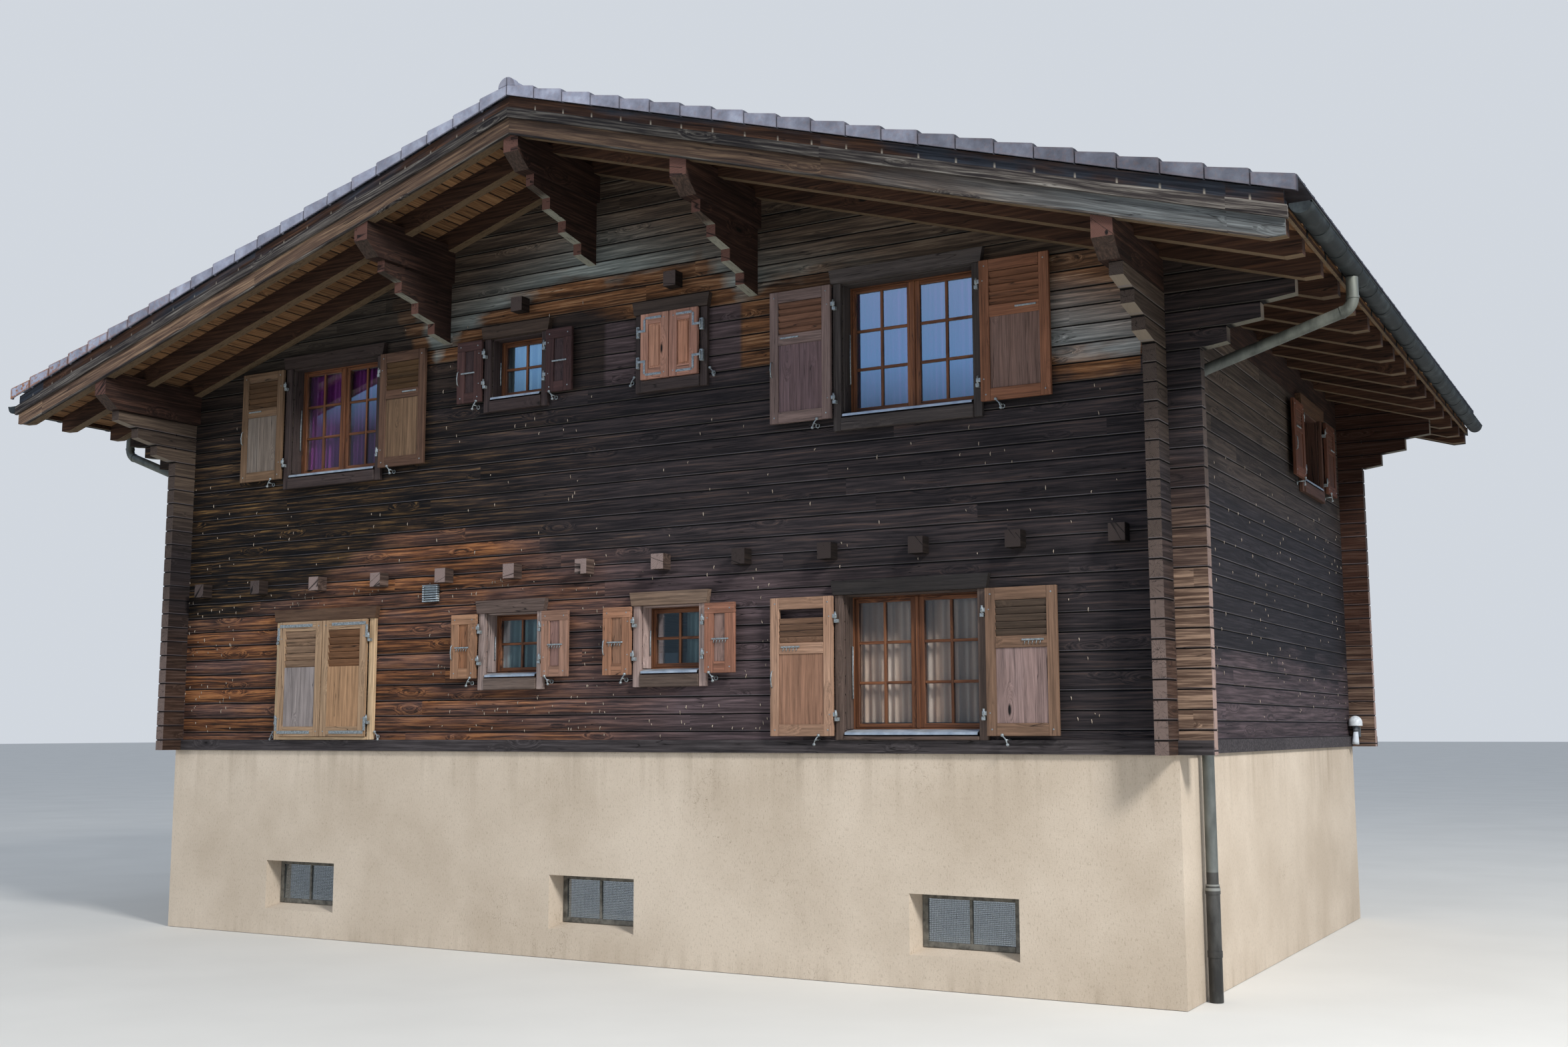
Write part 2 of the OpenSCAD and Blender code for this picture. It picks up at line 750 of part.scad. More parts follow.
module cylinder_at(x, d, z0, z1) {
    translate([x, 0, z0]) cylinder(d = d, h = z1 - z0);
}

module downpipe_left() {
    to_left() downpipe_right(pipe_in_left - hd, neck_fall_left);
}

// Casing of a window on the log face: posts, head board and sill board
module casing(w) {
    x0 = w[0] - w[2] / 2;
    x1 = w[0] + w[2] / 2;
    low = w[1] - sill_h - 42;
    top = w[1] + w[3];
    foot = max(low, plinth_h + drip_h + seam);
    for (x = [x0 - post_w, x1]) box(x, x + post_w, -hd - post_t, -hd - seam, foot, top - seam);
    box(x0 - post_w - 28, x1 + post_w + 28, -hd - post_t - 18, -hd - seam, top, top + head_h);
    box(x0 + seam, x1 - seam, -hd - post_t - 14, -hd - seam, low, low + sill_h);
}

module front_casings() {
    color("#6e6760") difference() {
        for (w = all_windows) casing(w);
        box(-far, far, -hd - drip_out - seam, far, 0, plinth_h + drip_h + seam);
    }
}

module back_casings() {
    to_back() front_casings();
}

// Fixed frame with its sashes: two lights in a large window, one in a small one
module lights(w) {
    x0 = w[0] - w[2] / 2 + frame_w;
    x1 = w[0] + w[2] / 2 - frame_w;
    z0 = w[1] + frame_w;
    z1 = w[1] + w[3] - frame_w;
    if (w[2] > small_w) {
        translate([x0, z0]) square([(x1 - x0 - stile_w) / 2, z1 - z0]);
        translate([(x0 + x1 + stile_w) / 2, z0]) square([(x1 - x0 - stile_w) / 2, z1 - z0]);
    } else {
        translate([x0, z0]) square([x1 - x0, z1 - z0]);
    }
}

module window_frame(w) {
    y = -hd + frame_back;
    upright_x(y, y + frame_t) difference() {
        translate([w[0] - w[2] / 2, w[1]]) square([w[2], w[3]]);
        lights(w);
    }
}

module window_glass(w) {
    y = -hd + frame_back + (frame_t - glass_t) / 2;
    upright_x(y, y + glass_t) lights(w);
}

module front_windows() {
    color("#8d5a30") for (w = all_windows) window_frame(w);
}

module front_glass() {
    color("#9fb2c4") for (w = all_windows) window_glass(w);
}

module back_windows() {
    to_back() front_windows();
}

module back_glass() {
    to_back() front_glass();
}

// Shutter leaf: rails round a louvred and a boarded panel, with its two strap hinges
module leaf(x0, x1, z0, z1, hinge_x) {
    y1 = -hd - post_t - 6;
    y0 = y1 - shutter_t;
    mid = z0 + (z1 - z0) * 0.6;
    difference() {
        box(x0, x1, y0, y1, z0, z1);
        for (y = [y0 - 1, y1 - 10]) {
            box(x0 + rail_w, x1 - rail_w, y, y + 11, z0 + rail_w, mid - rail_w / 3);
            box(x0 + rail_w, x1 - rail_w, y, y + 11, mid + rail_w / 3, z1 - rail_w);
        }
    }
    for (z = [z0 + (z1 - z0) * 0.14, z0 + (z1 - z0) * 0.82])
        box(min(hinge_x, (x0 + x1) / 2), max(hinge_x, (x0 + x1) / 2) , y1 - 4, y1 + 6 - seam, z, z + 30);
}

// Leaves of a window folded back against the wall, or closed over it
module shutters(w, closed) {
    x0 = w[0] - w[2] / 2;
    x1 = w[0] + w[2] / 2;
    leaf_w = w[2] / 2 - 8;
    z0 = w[1] - 40;
    z1 = w[1] + w[3] - 6;
    if (closed) {
        leaf(x0 + 4, x0 + 4 + leaf_w, z0, z1, x0 - 20);
        leaf(x1 - 4 - leaf_w, x1 - 4, z0, z1, x1 + 20);
    } else {
        leaf(x0 - post_w - 4 - leaf_w, x0 - post_w - 4, z0, z1, x0 - post_w + 20);
        leaf(x1 + post_w + 4, x1 + post_w + 4 + leaf_w, z0, z1, x1 + post_w - 20);
    }
}

module front_shutters() {
    color("#7b5a45") for (w = all_windows) shutters(w, is_closed(w));
}

module back_shutters() {
    color("#7b5a45") to_back() for (w = all_windows) shutters(w, false);
}

// A side window is drawn as a front one and turned on to the right wall
module on_side() {
    for (m = [0, 1]) mirror([m, 0, 0])
        translate([hw, 0, 0]) rotate([0, 0, 90]) translate([0, hd, 0]) children();
}

side_window = [hd - side_win_in, plinth_h + side_win_rise, side_win_w, side_win_h];

module side_windows() {
    color("#8d5a30") on_side() {
        casing(side_window);
        window_frame(side_window);
    }
}

module side_glass() {
    color("#9fb2c4") on_side() window_glass(side_window);
}

module side_shutters() {
    color("#7b5a45") on_side() shutters(side_window, false);
}

// Vent grille on the log face, just below the joists
module vent_grille() {
    slat_n = 7;
    low = joist_z - vent_h - 8;
    pitch_z = (vent_h - 21) / slat_n;
    color("#9aa3a8") difference() {
        box(-vent_x - vent_w / 2, -vent_x + vent_w / 2, -hd - vent_t, -hd - seam, low, low + vent_h);
        for (i = [0 : slat_n - 1])
            box(-vent_x - vent_w / 2 + 18, -vent_x + vent_w / 2 - 18, -hd - vent_t - 1, -hd - vent_t / 2,
                low + 14 + i * pitch_z, low + 14 + (i + 0.5) * pitch_z);
    }
}

// Wall lamp on the back wall's log ends: plate, arm, domed cap and a leaning glass cone
module wall_lamp() {
    x = hw + lamp_out;
    y = hd - log_t;
    z = plinth_h + lamp_rise;
    color("#dfe3e6") {
        box(x - 35, x + 35, y - 24, y - seam, z - 120, z - 10);
        box(x - 16, x + 16, y - lamp_r - 26, y - 20, z - 70, z + 1);
        translate([x, y - lamp_r - 26, z]) {
            cylinder(r = lamp_r, h = lamp_r / 2);
            intersection() {
                translate([0, 0, lamp_r / 2]) sphere(r = lamp_r);
                cylinder(r = lamp_r + 1, h = 2 * lamp_r);
            }
            translate([0, 0, -60]) rotate([0, 184, 0]) cylinder(r1 = 24, r2 = 40, h = 138);
        }
    }
}

plinth_front();
plinth_back();
plinth_left();
plinth_right();
cellar_floor();
ground_floor();
floor_joists();
upper_floor();
ceiling_beams();
front_wall_lower();
front_wall_upper();
front_gable();
to_back() front_wall_lower();  // back_wall_lower
to_back() front_wall_upper();  // back_wall_upper
to_back() front_gable();  // back_gable
left_wall();
right_wall();
drip_boards();
ridge_purlin();
mid_purlin_left();
mid_purlin_right();
eave_purlin_left();
eave_purlin_right();
rafters_left();
rafters_right();
roof_boards();
battens();
tiles_left();
tiles_right();
ridge_tiles();
verge_boards();
fascia_boards();
gutter_left();
gutter_right();
downpipe_left();
downpipe_right();
front_casings();
front_windows();
front_glass();
front_shutters();
back_casings();
back_windows();
back_glass();
back_shutters();
side_windows();
side_glass();
side_shutters();
cellar_grilles();
vent_grille();
wall_lamp();
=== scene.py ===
import math
import random

import bmesh
import bpy
from mathutils import Matrix, Vector


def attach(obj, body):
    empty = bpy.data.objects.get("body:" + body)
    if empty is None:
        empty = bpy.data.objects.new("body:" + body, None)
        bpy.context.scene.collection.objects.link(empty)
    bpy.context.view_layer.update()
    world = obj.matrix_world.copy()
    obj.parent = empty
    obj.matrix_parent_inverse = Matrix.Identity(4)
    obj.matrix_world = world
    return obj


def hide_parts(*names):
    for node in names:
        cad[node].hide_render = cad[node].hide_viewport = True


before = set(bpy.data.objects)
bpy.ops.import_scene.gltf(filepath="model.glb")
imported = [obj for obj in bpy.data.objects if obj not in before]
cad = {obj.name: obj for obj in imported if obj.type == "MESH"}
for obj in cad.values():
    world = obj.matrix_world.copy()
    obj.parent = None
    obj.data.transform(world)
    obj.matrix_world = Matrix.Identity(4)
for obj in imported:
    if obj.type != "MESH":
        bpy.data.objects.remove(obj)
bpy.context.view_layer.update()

scene = bpy.context.scene
rng = random.Random(7339)

# Sizes of the house as the frame has them, in metres
house = dict(
    halfWide=5.40, halfDeep=3.33, log=0.105, course=0.15, firstJoint=2.01,
    sideJoint=1.935, sideCourse=0.147391, plinth=1.83, slope=math.tan(math.radians(16.8)),
    ridgeSoffit=6.9312, purlin=0.34, rafter=0.135, board=0.025, underTile=0.118, tile=6.678 / 22,
)
grainOrder = ((0, 1, 2), (1, 0, 2), (2, 0, 1))  # along the grain first, for timber that runs in x, y or z


def purlinUnder(x):
    return house["ridgeSoffit"] - abs(x) * house["slope"]


def tileUnder(x):
    return purlinUnder(x) + house["purlin"] + house["rafter"] + house["board"] + house["underTile"]


# Node building. Sums of Values become Math nodes in the tree being filled

graph = dict(tree=None)


class Value:
    def __init__(self, socket):
        self.socket = socket


class Node:
    def __init__(self, node):
        self.node = node

    def __getitem__(self, key):
        return Value(self.node.outputs[key])

    def take(self, key, value):
        if isinstance(value, Value):
            graph["tree"].links.new(value.socket, self.node.inputs[key])
        else:
            self.node.inputs[key].default_value = rgb(value) if isinstance(value, str) else value


def put(kind, inputs=None, **props):
    made = Node(graph["tree"].nodes.new(kind))
    for key, value in props.items():
        setattr(made.node, key, value)
    for key, value in (inputs or {}).items():
        made.take(key, value)
    return made


def calc(operation, a, b=0.0):
    return put("ShaderNodeMath", {0: a, 1: b}, operation=operation)[0]


for sign, operation in dict(add="ADD", sub="SUBTRACT", mul="MULTIPLY", truediv="DIVIDE").items():
    setattr(Value, f"__{sign}__", lambda a, b, kind=operation: calc(kind, a, b))
    setattr(Value, f"__r{sign}__", lambda a, b, kind=operation: calc(kind, b, a))
Value.__abs__ = lambda a: calc("ABSOLUTE", a)


def larger(a, b):
    return calc("MAXIMUM", a, b)


def smaller(a, b):
    return calc("MINIMUM", a, b)


def floored(a):
    return calc("FLOOR", a)


def fraction(a):
    return calc("FRACT", a)


def rgb(text):
    parts = [int(text[i:i + 2], 16) / 255 for i in (1, 3, 5)]
    return tuple(p / 12.92 if p <= 0.04045 else ((p + 0.055) / 1.055) ** 2.4 for p in parts) + (1.0,)


def mixed(factor, a, b, blend="MIX"):
    return put("ShaderNodeMix", {0: factor, 6: a, 7: b}, data_type="RGBA", blend_type=blend)[2]


def ramp(value, stops):
    # Stops are written as "0.30 #120f0d, 0.70 #503c2c"
    if isinstance(stops, str):
        stops = [(float(place), rgb(colour)) for place, colour in map(str.split, stops.split(","))]
    made = put("ShaderNodeValToRGB", {0: value})
    points = made.node.color_ramp.elements
    points[0].position, points[0].color = stops[0]
    points[1].position, points[1].color = stops[-1]
    for position, colour in stops[1:-1]:
        points.new(position).color = colour
    return made[0]


def span(value, low, high, start=0.0, end=1.0):
    return put("ShaderNodeMapRange", {0: value, 1: low, 2: high, 3: start, 4: end}, clamp=True)[0]


def inside(value, low, high, soft):
    return span(value, low - soft, low + soft) * span(value, high + soft, high - soft)


def profile(value, points):
    # Height that follows a line through the given points
    first, last, base, reach = points[0][0], points[-1][0], 2.0, 6.0
    stops = [((a - first) / (last - first), ((b - base) / reach,) * 3 + (1.0,)) for a, b in points]
    return ramp(span(value, first, last), stops) * reach + base


def joined(x, y, z):
    return put("ShaderNodeCombineXYZ", {0: x, 1: y, 2: z})[0]


def parted(vector):
    return put("ShaderNodeSeparateXYZ", {0: vector})


def tinted(colour, value):
    return mixed(1.0, colour, joined(value, value, value), "MULTIPLY")


def shifted(vector, offset):
    return put("ShaderNodeVectorMath", {0: vector, 1: offset}, operation="ADD")[0]


def scaled(vector, scale):
    return put("ShaderNodeVectorMath", {0: vector, 1: scale}, operation="MULTIPLY")[0]


def noiseAt(vector, scale, detail=4.0, rough=0.55, offset=None):
    if isinstance(scale, tuple):
        vector, scale = scaled(vector, scale), 1.0
    if offset:
        vector = shifted(vector, offset)
    return put("ShaderNodeTexNoise", {"Vector": vector, "Scale": scale, "Detail": detail,
                                      "Roughness": rough})[0]


def chanceOf(value):
    return put("ShaderNodeTexWhiteNoise", {"W": value}, noise_dimensions="1D")[0]


def objectPlace():
    return put("ShaderNodeTexCoord")["Object"]


def carried(name, output):
    return put("ShaderNodeAttribute", attribute_name=name)[output]


def normalAlong(axis):
    return parted(put("ShaderNodeNewGeometry")["Normal"])[axis]


def facing(axis):
    return span(abs(normalAlong(axis)), 0.6, 0.8)


# Shared node groups, each placed in a material with that material's values

def startGroup(name, **inputs):
    graph["tree"] = bpy.data.node_groups.new(name, "ShaderNodeTree")
    for label, kind in inputs.items():
        graph["tree"].interface.new_socket(name=label, in_out="INPUT", socket_type="NodeSocket" + kind)
    return put("NodeGroupInput")


def endGroup(**results):
    for label in results:
        graph["tree"].interface.new_socket(name=label, in_out="OUTPUT", socket_type="NodeSocketFloat")
    put("NodeGroupOutput", results)


def placed(name, **inputs):
    return put("ShaderNodeGroup", inputs, node_tree=bpy.data.node_groups[name])


def grainGroup():
    place = startGroup("woodGrain", Vector="Vector")["Vector"]
    bend = noiseAt(place, (0.9, 5.0, 5.0), 2.0)
    bent = shifted(place, joined(0.0, bend * 0.05, 0.0))
    knots = put("ShaderNodeTexVoronoi", {"Vector": scaled(place, (1.25, 4.6, 3.0)), "Scale": 1.0})
    near = knots["Distance"]
    push = span(near, 0.05, 0.28, 0.1, 0.0)
    swept = shifted(bent, joined(0.0, push, push))
    streak = noiseAt(swept, (1.5, 48.0, 48.0), 6.0, 0.66)
    fine = noiseAt(swept, (7.0, 260.0, 260.0), 3.0, 0.6)
    split = noiseAt(bent, (0.75, 26.0, 14.0), 2.0, 0.45, (3.1, 7.7, 1.3))
    where = noiseAt(place, (0.8, 4.0, 4.0), 2.0, 0.55, (9.1, 2.2, 5.0))
    crack = span(abs(split - 0.5), 0.0, 0.009, 1.0, 0.0) * span(where, 0.46, 0.56)
    rare = put("ShaderNodeSeparateColor", {0: knots["Color"]})[0]
    knot = span(near, 0.045, 0.075, 1.0, 0.0) * span(rare, 0.52, 0.54)
    patch = noiseAt(place, (0.7, 3.0, 3.0), 4.0, 0.6, (2.0, 9.0, 4.0))
    endGroup(Streak=streak, Fine=fine, Crack=crack, Knot=knot, Patch=patch,
             Height=fine * 0.35 + streak * 0.65 - crack * 1.1)


def courseGroup():
    start = startGroup("logCourses", Along="Float", Up="Float", First="Float", Course="Float")
    level = (start["Up"] - start["First"]) / start["Course"]
    index = floored(level)
    across = level - index
    rowRandom = chanceOf(index)
    piece = floored(start["Along"] / 4.4 + rowRandom * 3.0)
    cell = put("ShaderNodeTexWhiteNoise", {"Vector": joined(index, piece, 0.0)}, noise_dimensions="3D")
    endGroup(Random=cell["Value"], Second=put("ShaderNodeSeparateColor", {0: cell["Color"]})[1],
             Joint=smaller(across, 1.0 - across) * start["Course"], Across=across,
             Shift=(rowRandom + piece * 0.37) * 41.0, Middle=start["First"] + (index + 0.5) * start["Course"])


def runsGroup():
    start = startGroup("rainRuns", Vector="Vector", Width="Float")
    wide = put("ShaderNodeVectorMath", {0: start["Vector"], "Scale": start["Width"]}, operation="SCALE")[0]
    endGroup(Runs=noiseAt(wide, (1.0, 1.0, 0.06), 4.0, 0.6), Blotch=noiseAt(start["Vector"], 0.8, 5.0, 0.6))


def endGrainGroup():
    start = startGroup("endGrain", Vector="Vector", Seed="Float")
    place = shifted(start["Vector"], joined(start["Seed"] * 0.05, start["Seed"] * -0.03, 0.0))
    far = put("ShaderNodeVectorMath", {0: place}, operation="LENGTH")["Value"]
    rings = calc("SINE", (far + noiseAt(place, 14.0, 2.0) * 0.02) * 900.0)
    x, y, z = parted(place)
    spoke = noiseAt(joined(calc("ARCTAN2", y, x) * 3.2, far * 5.0, start["Seed"]), 1.0, 2.0)
    endGroup(Rings=span(rings, -1.0, 1.0), Check=span(abs(spoke - 0.5), 0.0, 0.014, 1.0, 0.0))


for build in (grainGroup, courseGroup, runsGroup, endGrainGroup):
    build()
print("stage: shared node groups made")


# Materials, kept by name

mats = {}


def newMaterial(name, **fixed):
    mats[name] = bpy.data.materials.new(name)
    mats[name].use_nodes = True
    graph["tree"] = mats[name].node_tree
    graph["tree"].nodes.clear()
    surface = put("ShaderNodeBsdfPrincipled", {"Specular IOR Level": 0.2, **fixed})
    put("ShaderNodeOutputMaterial", {0: surface[0]})
    return surface


def relief(surface, height, strength, distance):
    bump = put("ShaderNodeBump", {"Height": height, "Strength": strength, "Distance": distance})
    surface.take("Normal", bump[0])


def finish(surface, colour, height, strength, distance, rough=None):
    surface.take("Base Color", colour)
    if rough:
        surface.take("Roughness", rough)
    relief(surface, height, strength, distance)


def darkCracks(colour, grain):
    return mixed(larger(grain["Crack"], grain["Knot"]), colour, logLook["deep"])


logLook = dict(deep="#130f0d", joint="#080607", plum="#241e1d", endLight="#51463f", line="#67646b", bump=0.5)
woodTones = dict(
    dark="0.32 #151213, 0.46 #272325, 0.56 #373031, 0.7 #50413c",
    olive="0.36 #080606, 0.45 #14100d, 0.53 #2c2117, 0.6 #513c25, 0.7 #745c38",
    warm="0.28 #140d0a, 0.4 #34241a, 0.5 #603c28, 0.6 #94643f, 0.7 #644632, 0.8 #8b6c52",
    plum="0.3 #272022, 0.48 #463b3d, 0.7 #6b5b5f",
    grey="0.3 #4a4f4d, 0.5 #7d8481, 0.68 #aab1ad",
    band="0.3 #1f140e, 0.43 #4a311f, 0.54 #744e32, 0.64 #957355, 0.76 #b0a292",
    smoked="0.3 #1b1816, 0.5 #3a342e, 0.72 #5a5248",
    sunny="0.3 #3a281d, 0.48 #5f4c41, 0.64 #a08672, 0.8 #5f4c41",
    dusky="0.28 #130f0d, 0.5 #43281c, 0.76 #5f4c41",
    side="0.3 #100e0f, 0.5 #1f1c1e, 0.7 #2f2b2e",
    sideHigh="0.3 #2b241f, 0.5 #4d423a, 0.7 #675a4d",
    heads="0.28 #130f0d, 0.5 #3a281d, 0.74 #5f4c41",
)
# Heights along the front above which the logs are out of the sun, orange and grey
logLines = dict(
    sun=[(-5.5, 3.05), (-3.5, 3.35), (-2.2, 3.95), (-0.9, 3.8), (0.4, 3.5), (5.5, 3.0)],
    band=[(-5.5, 7.9), (-2.9, 7.0), (-2.0, 5.55), (-0.2, 5.9), (1.6, 5.72), (2.0, 5.8), (3.8, 5.8),
          (3.95, 4.76), (5.22, 4.76), (5.32, 7.5), (5.5, 7.9)],
    grey=[(-5.5, 7.9), (-2.6, 7.0), (-1.9, 5.72), (-1.3, 6.02), (-0.3, 6.26), (1.2, 6.22), (1.6, 5.9),
          (3.8, 5.9), (3.95, 4.93), (5.22, 4.93), (5.32, 7.5), (5.5, 7.9)],
)


def streaked(grain, name):
    return ramp(grain["Streak"], woodTones[name])


def logParts(along, up, deep, first, course):
    # The courses of a log wall and the grain that runs along it
    made = placed("logCourses", Along=along, Up=up, First=first, Course=course)
    return made, placed("woodGrain", Vector=joined(along + made["Shift"], up, deep))


def finishLogs(surface, colour, grain, course, edge, pale):
    # The joint, and a painted highlight: a pale line on the arris above it, where light catches the log's
    # edge
    gap = span(edge, 0.0035, 0.0065, 1.0, 0.0)
    colour = mixed(gap, colour, logLook["joint"])
    colour = mixed(inside(course["Across"], 0.05, 0.082, 0.008) * pale, colour, logLook["line"])
    finish(surface, colour, grain["Height"] - gap * 2.0, logLook["bump"], 0.006)


def frontLogMaterial():
    surface = newMaterial("frontLogs", Roughness=0.82)
    place = objectPlace()
    x, y, z = parted(place)
    course, grain = logParts(x, z, y, house["firstJoint"], house["course"])
    streak, patch = grain["Streak"], grain["Patch"]
    drift = noiseAt(place, (0.6, 0.6, 1.2), 5.0, 0.65) - 0.5
    # Tones change mostly from log to log
    level = z * 0.25 + course["Middle"] * 0.75 + drift * 0.5
    wide = x + (course["Random"] - 0.5) * 0.9 + drift * 2.0
    # Painted shade: dark olive logs in the upper left
    olive = span(wide, 0.2, -2.2) * span(level, 5.4, 4.4, 0.4, 1.0)
    colour = mixed(olive, streaked(grain, "dark"), streaked(grain, "olive"))
    # Painted sunlight below the sun line: low down the logs are plum grey in the middle and orange brown to
    # the left, in patches
    low = span(level - profile(x, logLines["sun"]), 0.12, -0.12)
    colour = mixed(low * span(wide, 4.0, 2.6) * 0.9, colour, streaked(grain, "plum"))
    sunlitPatches = span(patch * 0.8 + course["Random"] * 0.22, 0.34, 0.54, 0.35, 1.0)
    colour = mixed(low * span(wide, 0.9, -1.3) * sunlitPatches, colour, streaked(grain, "warm"))
    # Above that brown, then an orange band and the grey gable
    brown = mixed(span(streak, 0.35, 0.75), "#181312", "#453830")
    colour = mixed(span(level, 5.15, 5.35) * 0.85, colour, brown)
    band = span(level - profile(x, logLines["band"]), -0.04, 0.04)
    colour = mixed(band, colour, streaked(grain, "band"))
    below = house["ridgeSoffit"] + house["purlin"] - z - abs(x) * house["slope"]
    grey = span(level - profile(x, logLines["grey"]) + (patch - 0.5) * 0.5, -0.06, 0.06)
    # Close to the roof the grey gives way to the painted shade under the eaves
    grey = grey * span(below, 0.25, 0.85, 0.05, 1.0)
    right = span(x, 3.8, 4.0)
    corner = right * span(level, 5.75, 5.5, 0.3, 1.0)
    lift = mixed(right, (1.0, 1.0, 1.0, 1.0), joined(corner * 1.18, corner * 1.12, corner * 1.18))
    colour = mixed(grey, colour, mixed(1.0, streaked(grain, "grey"), lift, "MULTIPLY"))
    # Painted shade close to the roof, under the eaves
    close = span(below, 1.05, 0.25, 0.0, 0.85) * span(level, 5.55, 5.85)
    colour = mixed(close, colour, streaked(grain, "smoked"))
    # Paler logs on both sides of the small shuttered window
    storey = inside(level, 5.12, 5.76, 0.03)
    beside = inside(x, 0.16, 0.5, 0.02) + inside(x, 1.28, 1.63, 0.01)
    colour = mixed(beside * storey * 0.85, colour, streaked(grain, "plum"))
    colour = mixed(inside(x, 1.63, 2.1, 0.02) * storey * 0.9, colour, streaked(grain, "band"))
    # Painted shade: the lower half of each log is darker, as on a rounded log turned away from the light
    tone = span(course["Second"], 0.0, 1.0, 0.78, 1.16) * span(grain["Fine"], 0.3, 0.7, 0.86, 1.12)
    fall = span(course["Across"], 0.12, 0.62, 0.45, 1.12) - 1.0
    colour = tinted(colour, tone * (1.0 + fall * span(wide, 1.2, -1.0, 0.3, 0.95)))
    colour = mixed(grain["Knot"] * 0.8, colour, logLook["deep"])
    # Past the corner the logs are warm at the back and low down at the front: painted sunlight low down,
    # painted shade higher up
    beyond = span(abs(x), house["halfWide"] - 0.005, house["halfWide"] + 0.005)
    foot = span(z + (patch * 1.4 + span(y, 0.0, 1.0, 0.0, 0.9)), 3.6, 4.8)
    rear = span(y, 0.0, 1.0)
    flank = mixed(foot, streaked(grain, "sunny"), streaked(grain, "dusky"))
    flank = mixed(rear, flank, mixed(1.0, flank, (0.66, 0.66, 0.68, 1.0), "MULTIPLY"))
    colour = mixed(beyond * larger(rear, 1.0 - foot), colour, flank)
    # Painted light from below on the undersides of the steps below the eaves; then the log ends
    colour = mixed(span(normalAlong(2), -0.6, -0.9, 0.0, 0.8), colour, "#6f6c61")
    cut = placed("endGrain", Vector=joined(y, course["Across"] * 0.15, 0.0), Seed=course["Random"])
    endWood = mixed(cut["Rings"], logLook["plum"], logLook["endLight"])
    endWood = mixed(span(z, 4.9, 5.1, 0.0, 0.7), endWood, "#857a6d")
    endWood = mixed(span(z + patch, 4.4, 3.2, 0.0, 0.85), endWood, "#9d867e")
    colour = mixed(facing(0), colour, mixed(cut["Check"], endWood, logLook["deep"]))
    colour = mixed(grain["Crack"], colour, logLook["joint"])
    # Painted highlight on the arrises, in patches and weaker high up
    pale = span(patch, 0.4, 0.58, 0.15, 0.62) * span(level, 4.9, 4.7, 0.15, 1.0)
    finishLogs(surface, colour, grain, course, course["Joint"] + (streak - 0.5) * 0.003, pale)


def sideLogMaterial():
    surface = newMaterial("sideLogs", Roughness=0.8)
    x, y, z = parted(objectPlace())
    course, grain = logParts(y, z, x, house["sideJoint"], house["sideCourse"])
    patch = grain["Patch"]
    high = span(z, 3.9, 4.7) * span(course["Random"], 0.0, 0.5, 0.45, 1.0)
    colour = mixed(high, streaked(grain, "side"), streaked(grain, "sideHigh"))
    # Painted sunlight: a mauve-grey sheen on the logs low down
    colour = mixed(span(z + patch, 3.2, 2.9) * 0.7, colour, streaked(grain, "plum"))
    # The log heads past the corner are dark, with some brown low down
    outward = span(abs(y), house["halfDeep"] - 0.01, house["halfDeep"] + 0.01)
    low = span(z + patch * 1.2, 3.0, 4.2, 0.9, 0.08)
    colour = mixed(outward * larger(span(y, 0.0, 1.0), low), colour, streaked(grain, "heads"))
    colour = tinted(colour, span(course["Second"], 0.0, 1.0, 0.84, 1.13))
    inHead = abs(x) - (house["halfWide"] - house["log"] / 2)
    cut = placed("endGrain", Vector=joined(inHead, (course["Across"] - 0.5) * 0.15, 0.0),
                 Seed=course["Random"])
    endWood = mixed(low * 0.75, mixed(cut["Rings"], logLook["plum"], logLook["endLight"]), "#7b6a64")
    colour = mixed(facing(1), colour, mixed(cut["Check"], endWood, logLook["deep"]))
    colour = mixed(grain["Crack"], colour, logLook["joint"])
    # Painted light from below on the downward faces
    colour = mixed(span(normalAlong(2), -0.6, -0.9, 0.0, 0.7), colour, "#8b8072")
    # Painted highlight on the arrises, in patches
    finishLogs(surface, colour, grain, course, course["Joint"], span(patch, 0.38, 0.56, 0.2, 0.65))


def beamMaterial(name, axis, stops, cellSize=0.6, ends=None, seam=0.0, underLight=None, shadeByPlace=None):
    # Solid timber in the frame's own pieces: axis is the direction of its grain
    surface = newMaterial(name, Roughness=0.8)
    parts = parted(objectPlace())
    long, wide, deep = [parts[k] for k in grainOrder[axis]]
    level = wide / cellSize
    cell = floored(level)
    chance = chanceOf(cell)
    grain = placed("woodGrain", Vector=joined(long + chance * 31.0, wide, deep))
    colour = tinted(ramp(grain["Streak"], stops), span(chance, 0.0, 1.0, 0.75, 1.15))
    # Painted light from below on the downward faces
    if underLight:
        normal = normalAlong(2)
        lit = span(normal, -0.9, -0.6, 1.0, 0.0) * span(grain["Streak"], 0.2, 0.5)
        if ends:
            lit = lit * span(normal, -0.998, -0.985)
        if axis == 1:
            lit = lit * span(abs(long), 4.12, 3.98, 0.12, 1.0)
        colour = mixed(lit, colour, underLight)
    if ends:
        rings = placed("endGrain", Vector=joined(wide, deep, 0.0), Seed=chance)
        cut = mixed(rings["Rings"], *ends)
        colour = mixed(facing(axis), colour, mixed(rings["Check"], cut, logLook["deep"]))
    # Painted shade: darker towards the right, at the far left and high up
    if shadeByPlace:
        darker = span(parts[0], shadeByPlace[0], shadeByPlace[1], 1.0, shadeByPlace[2]) * span(parts[0], -3.5, -4.0, 1.0, 0.3)
        colour = tinted(colour, darker * span(parts[2], 4.5, 5.0, 1.0, 0.3))
    colour = darkCracks(colour, grain)
    if seam:
        off = level - cell
        gap = smaller(off, 1.0 - off) * cellSize
        colour = mixed(span(gap, seam * 0.5, seam, 1.0, 0.0), colour, logLook["joint"])
    finish(surface, colour, grain["Height"], 0.4, 0.005)


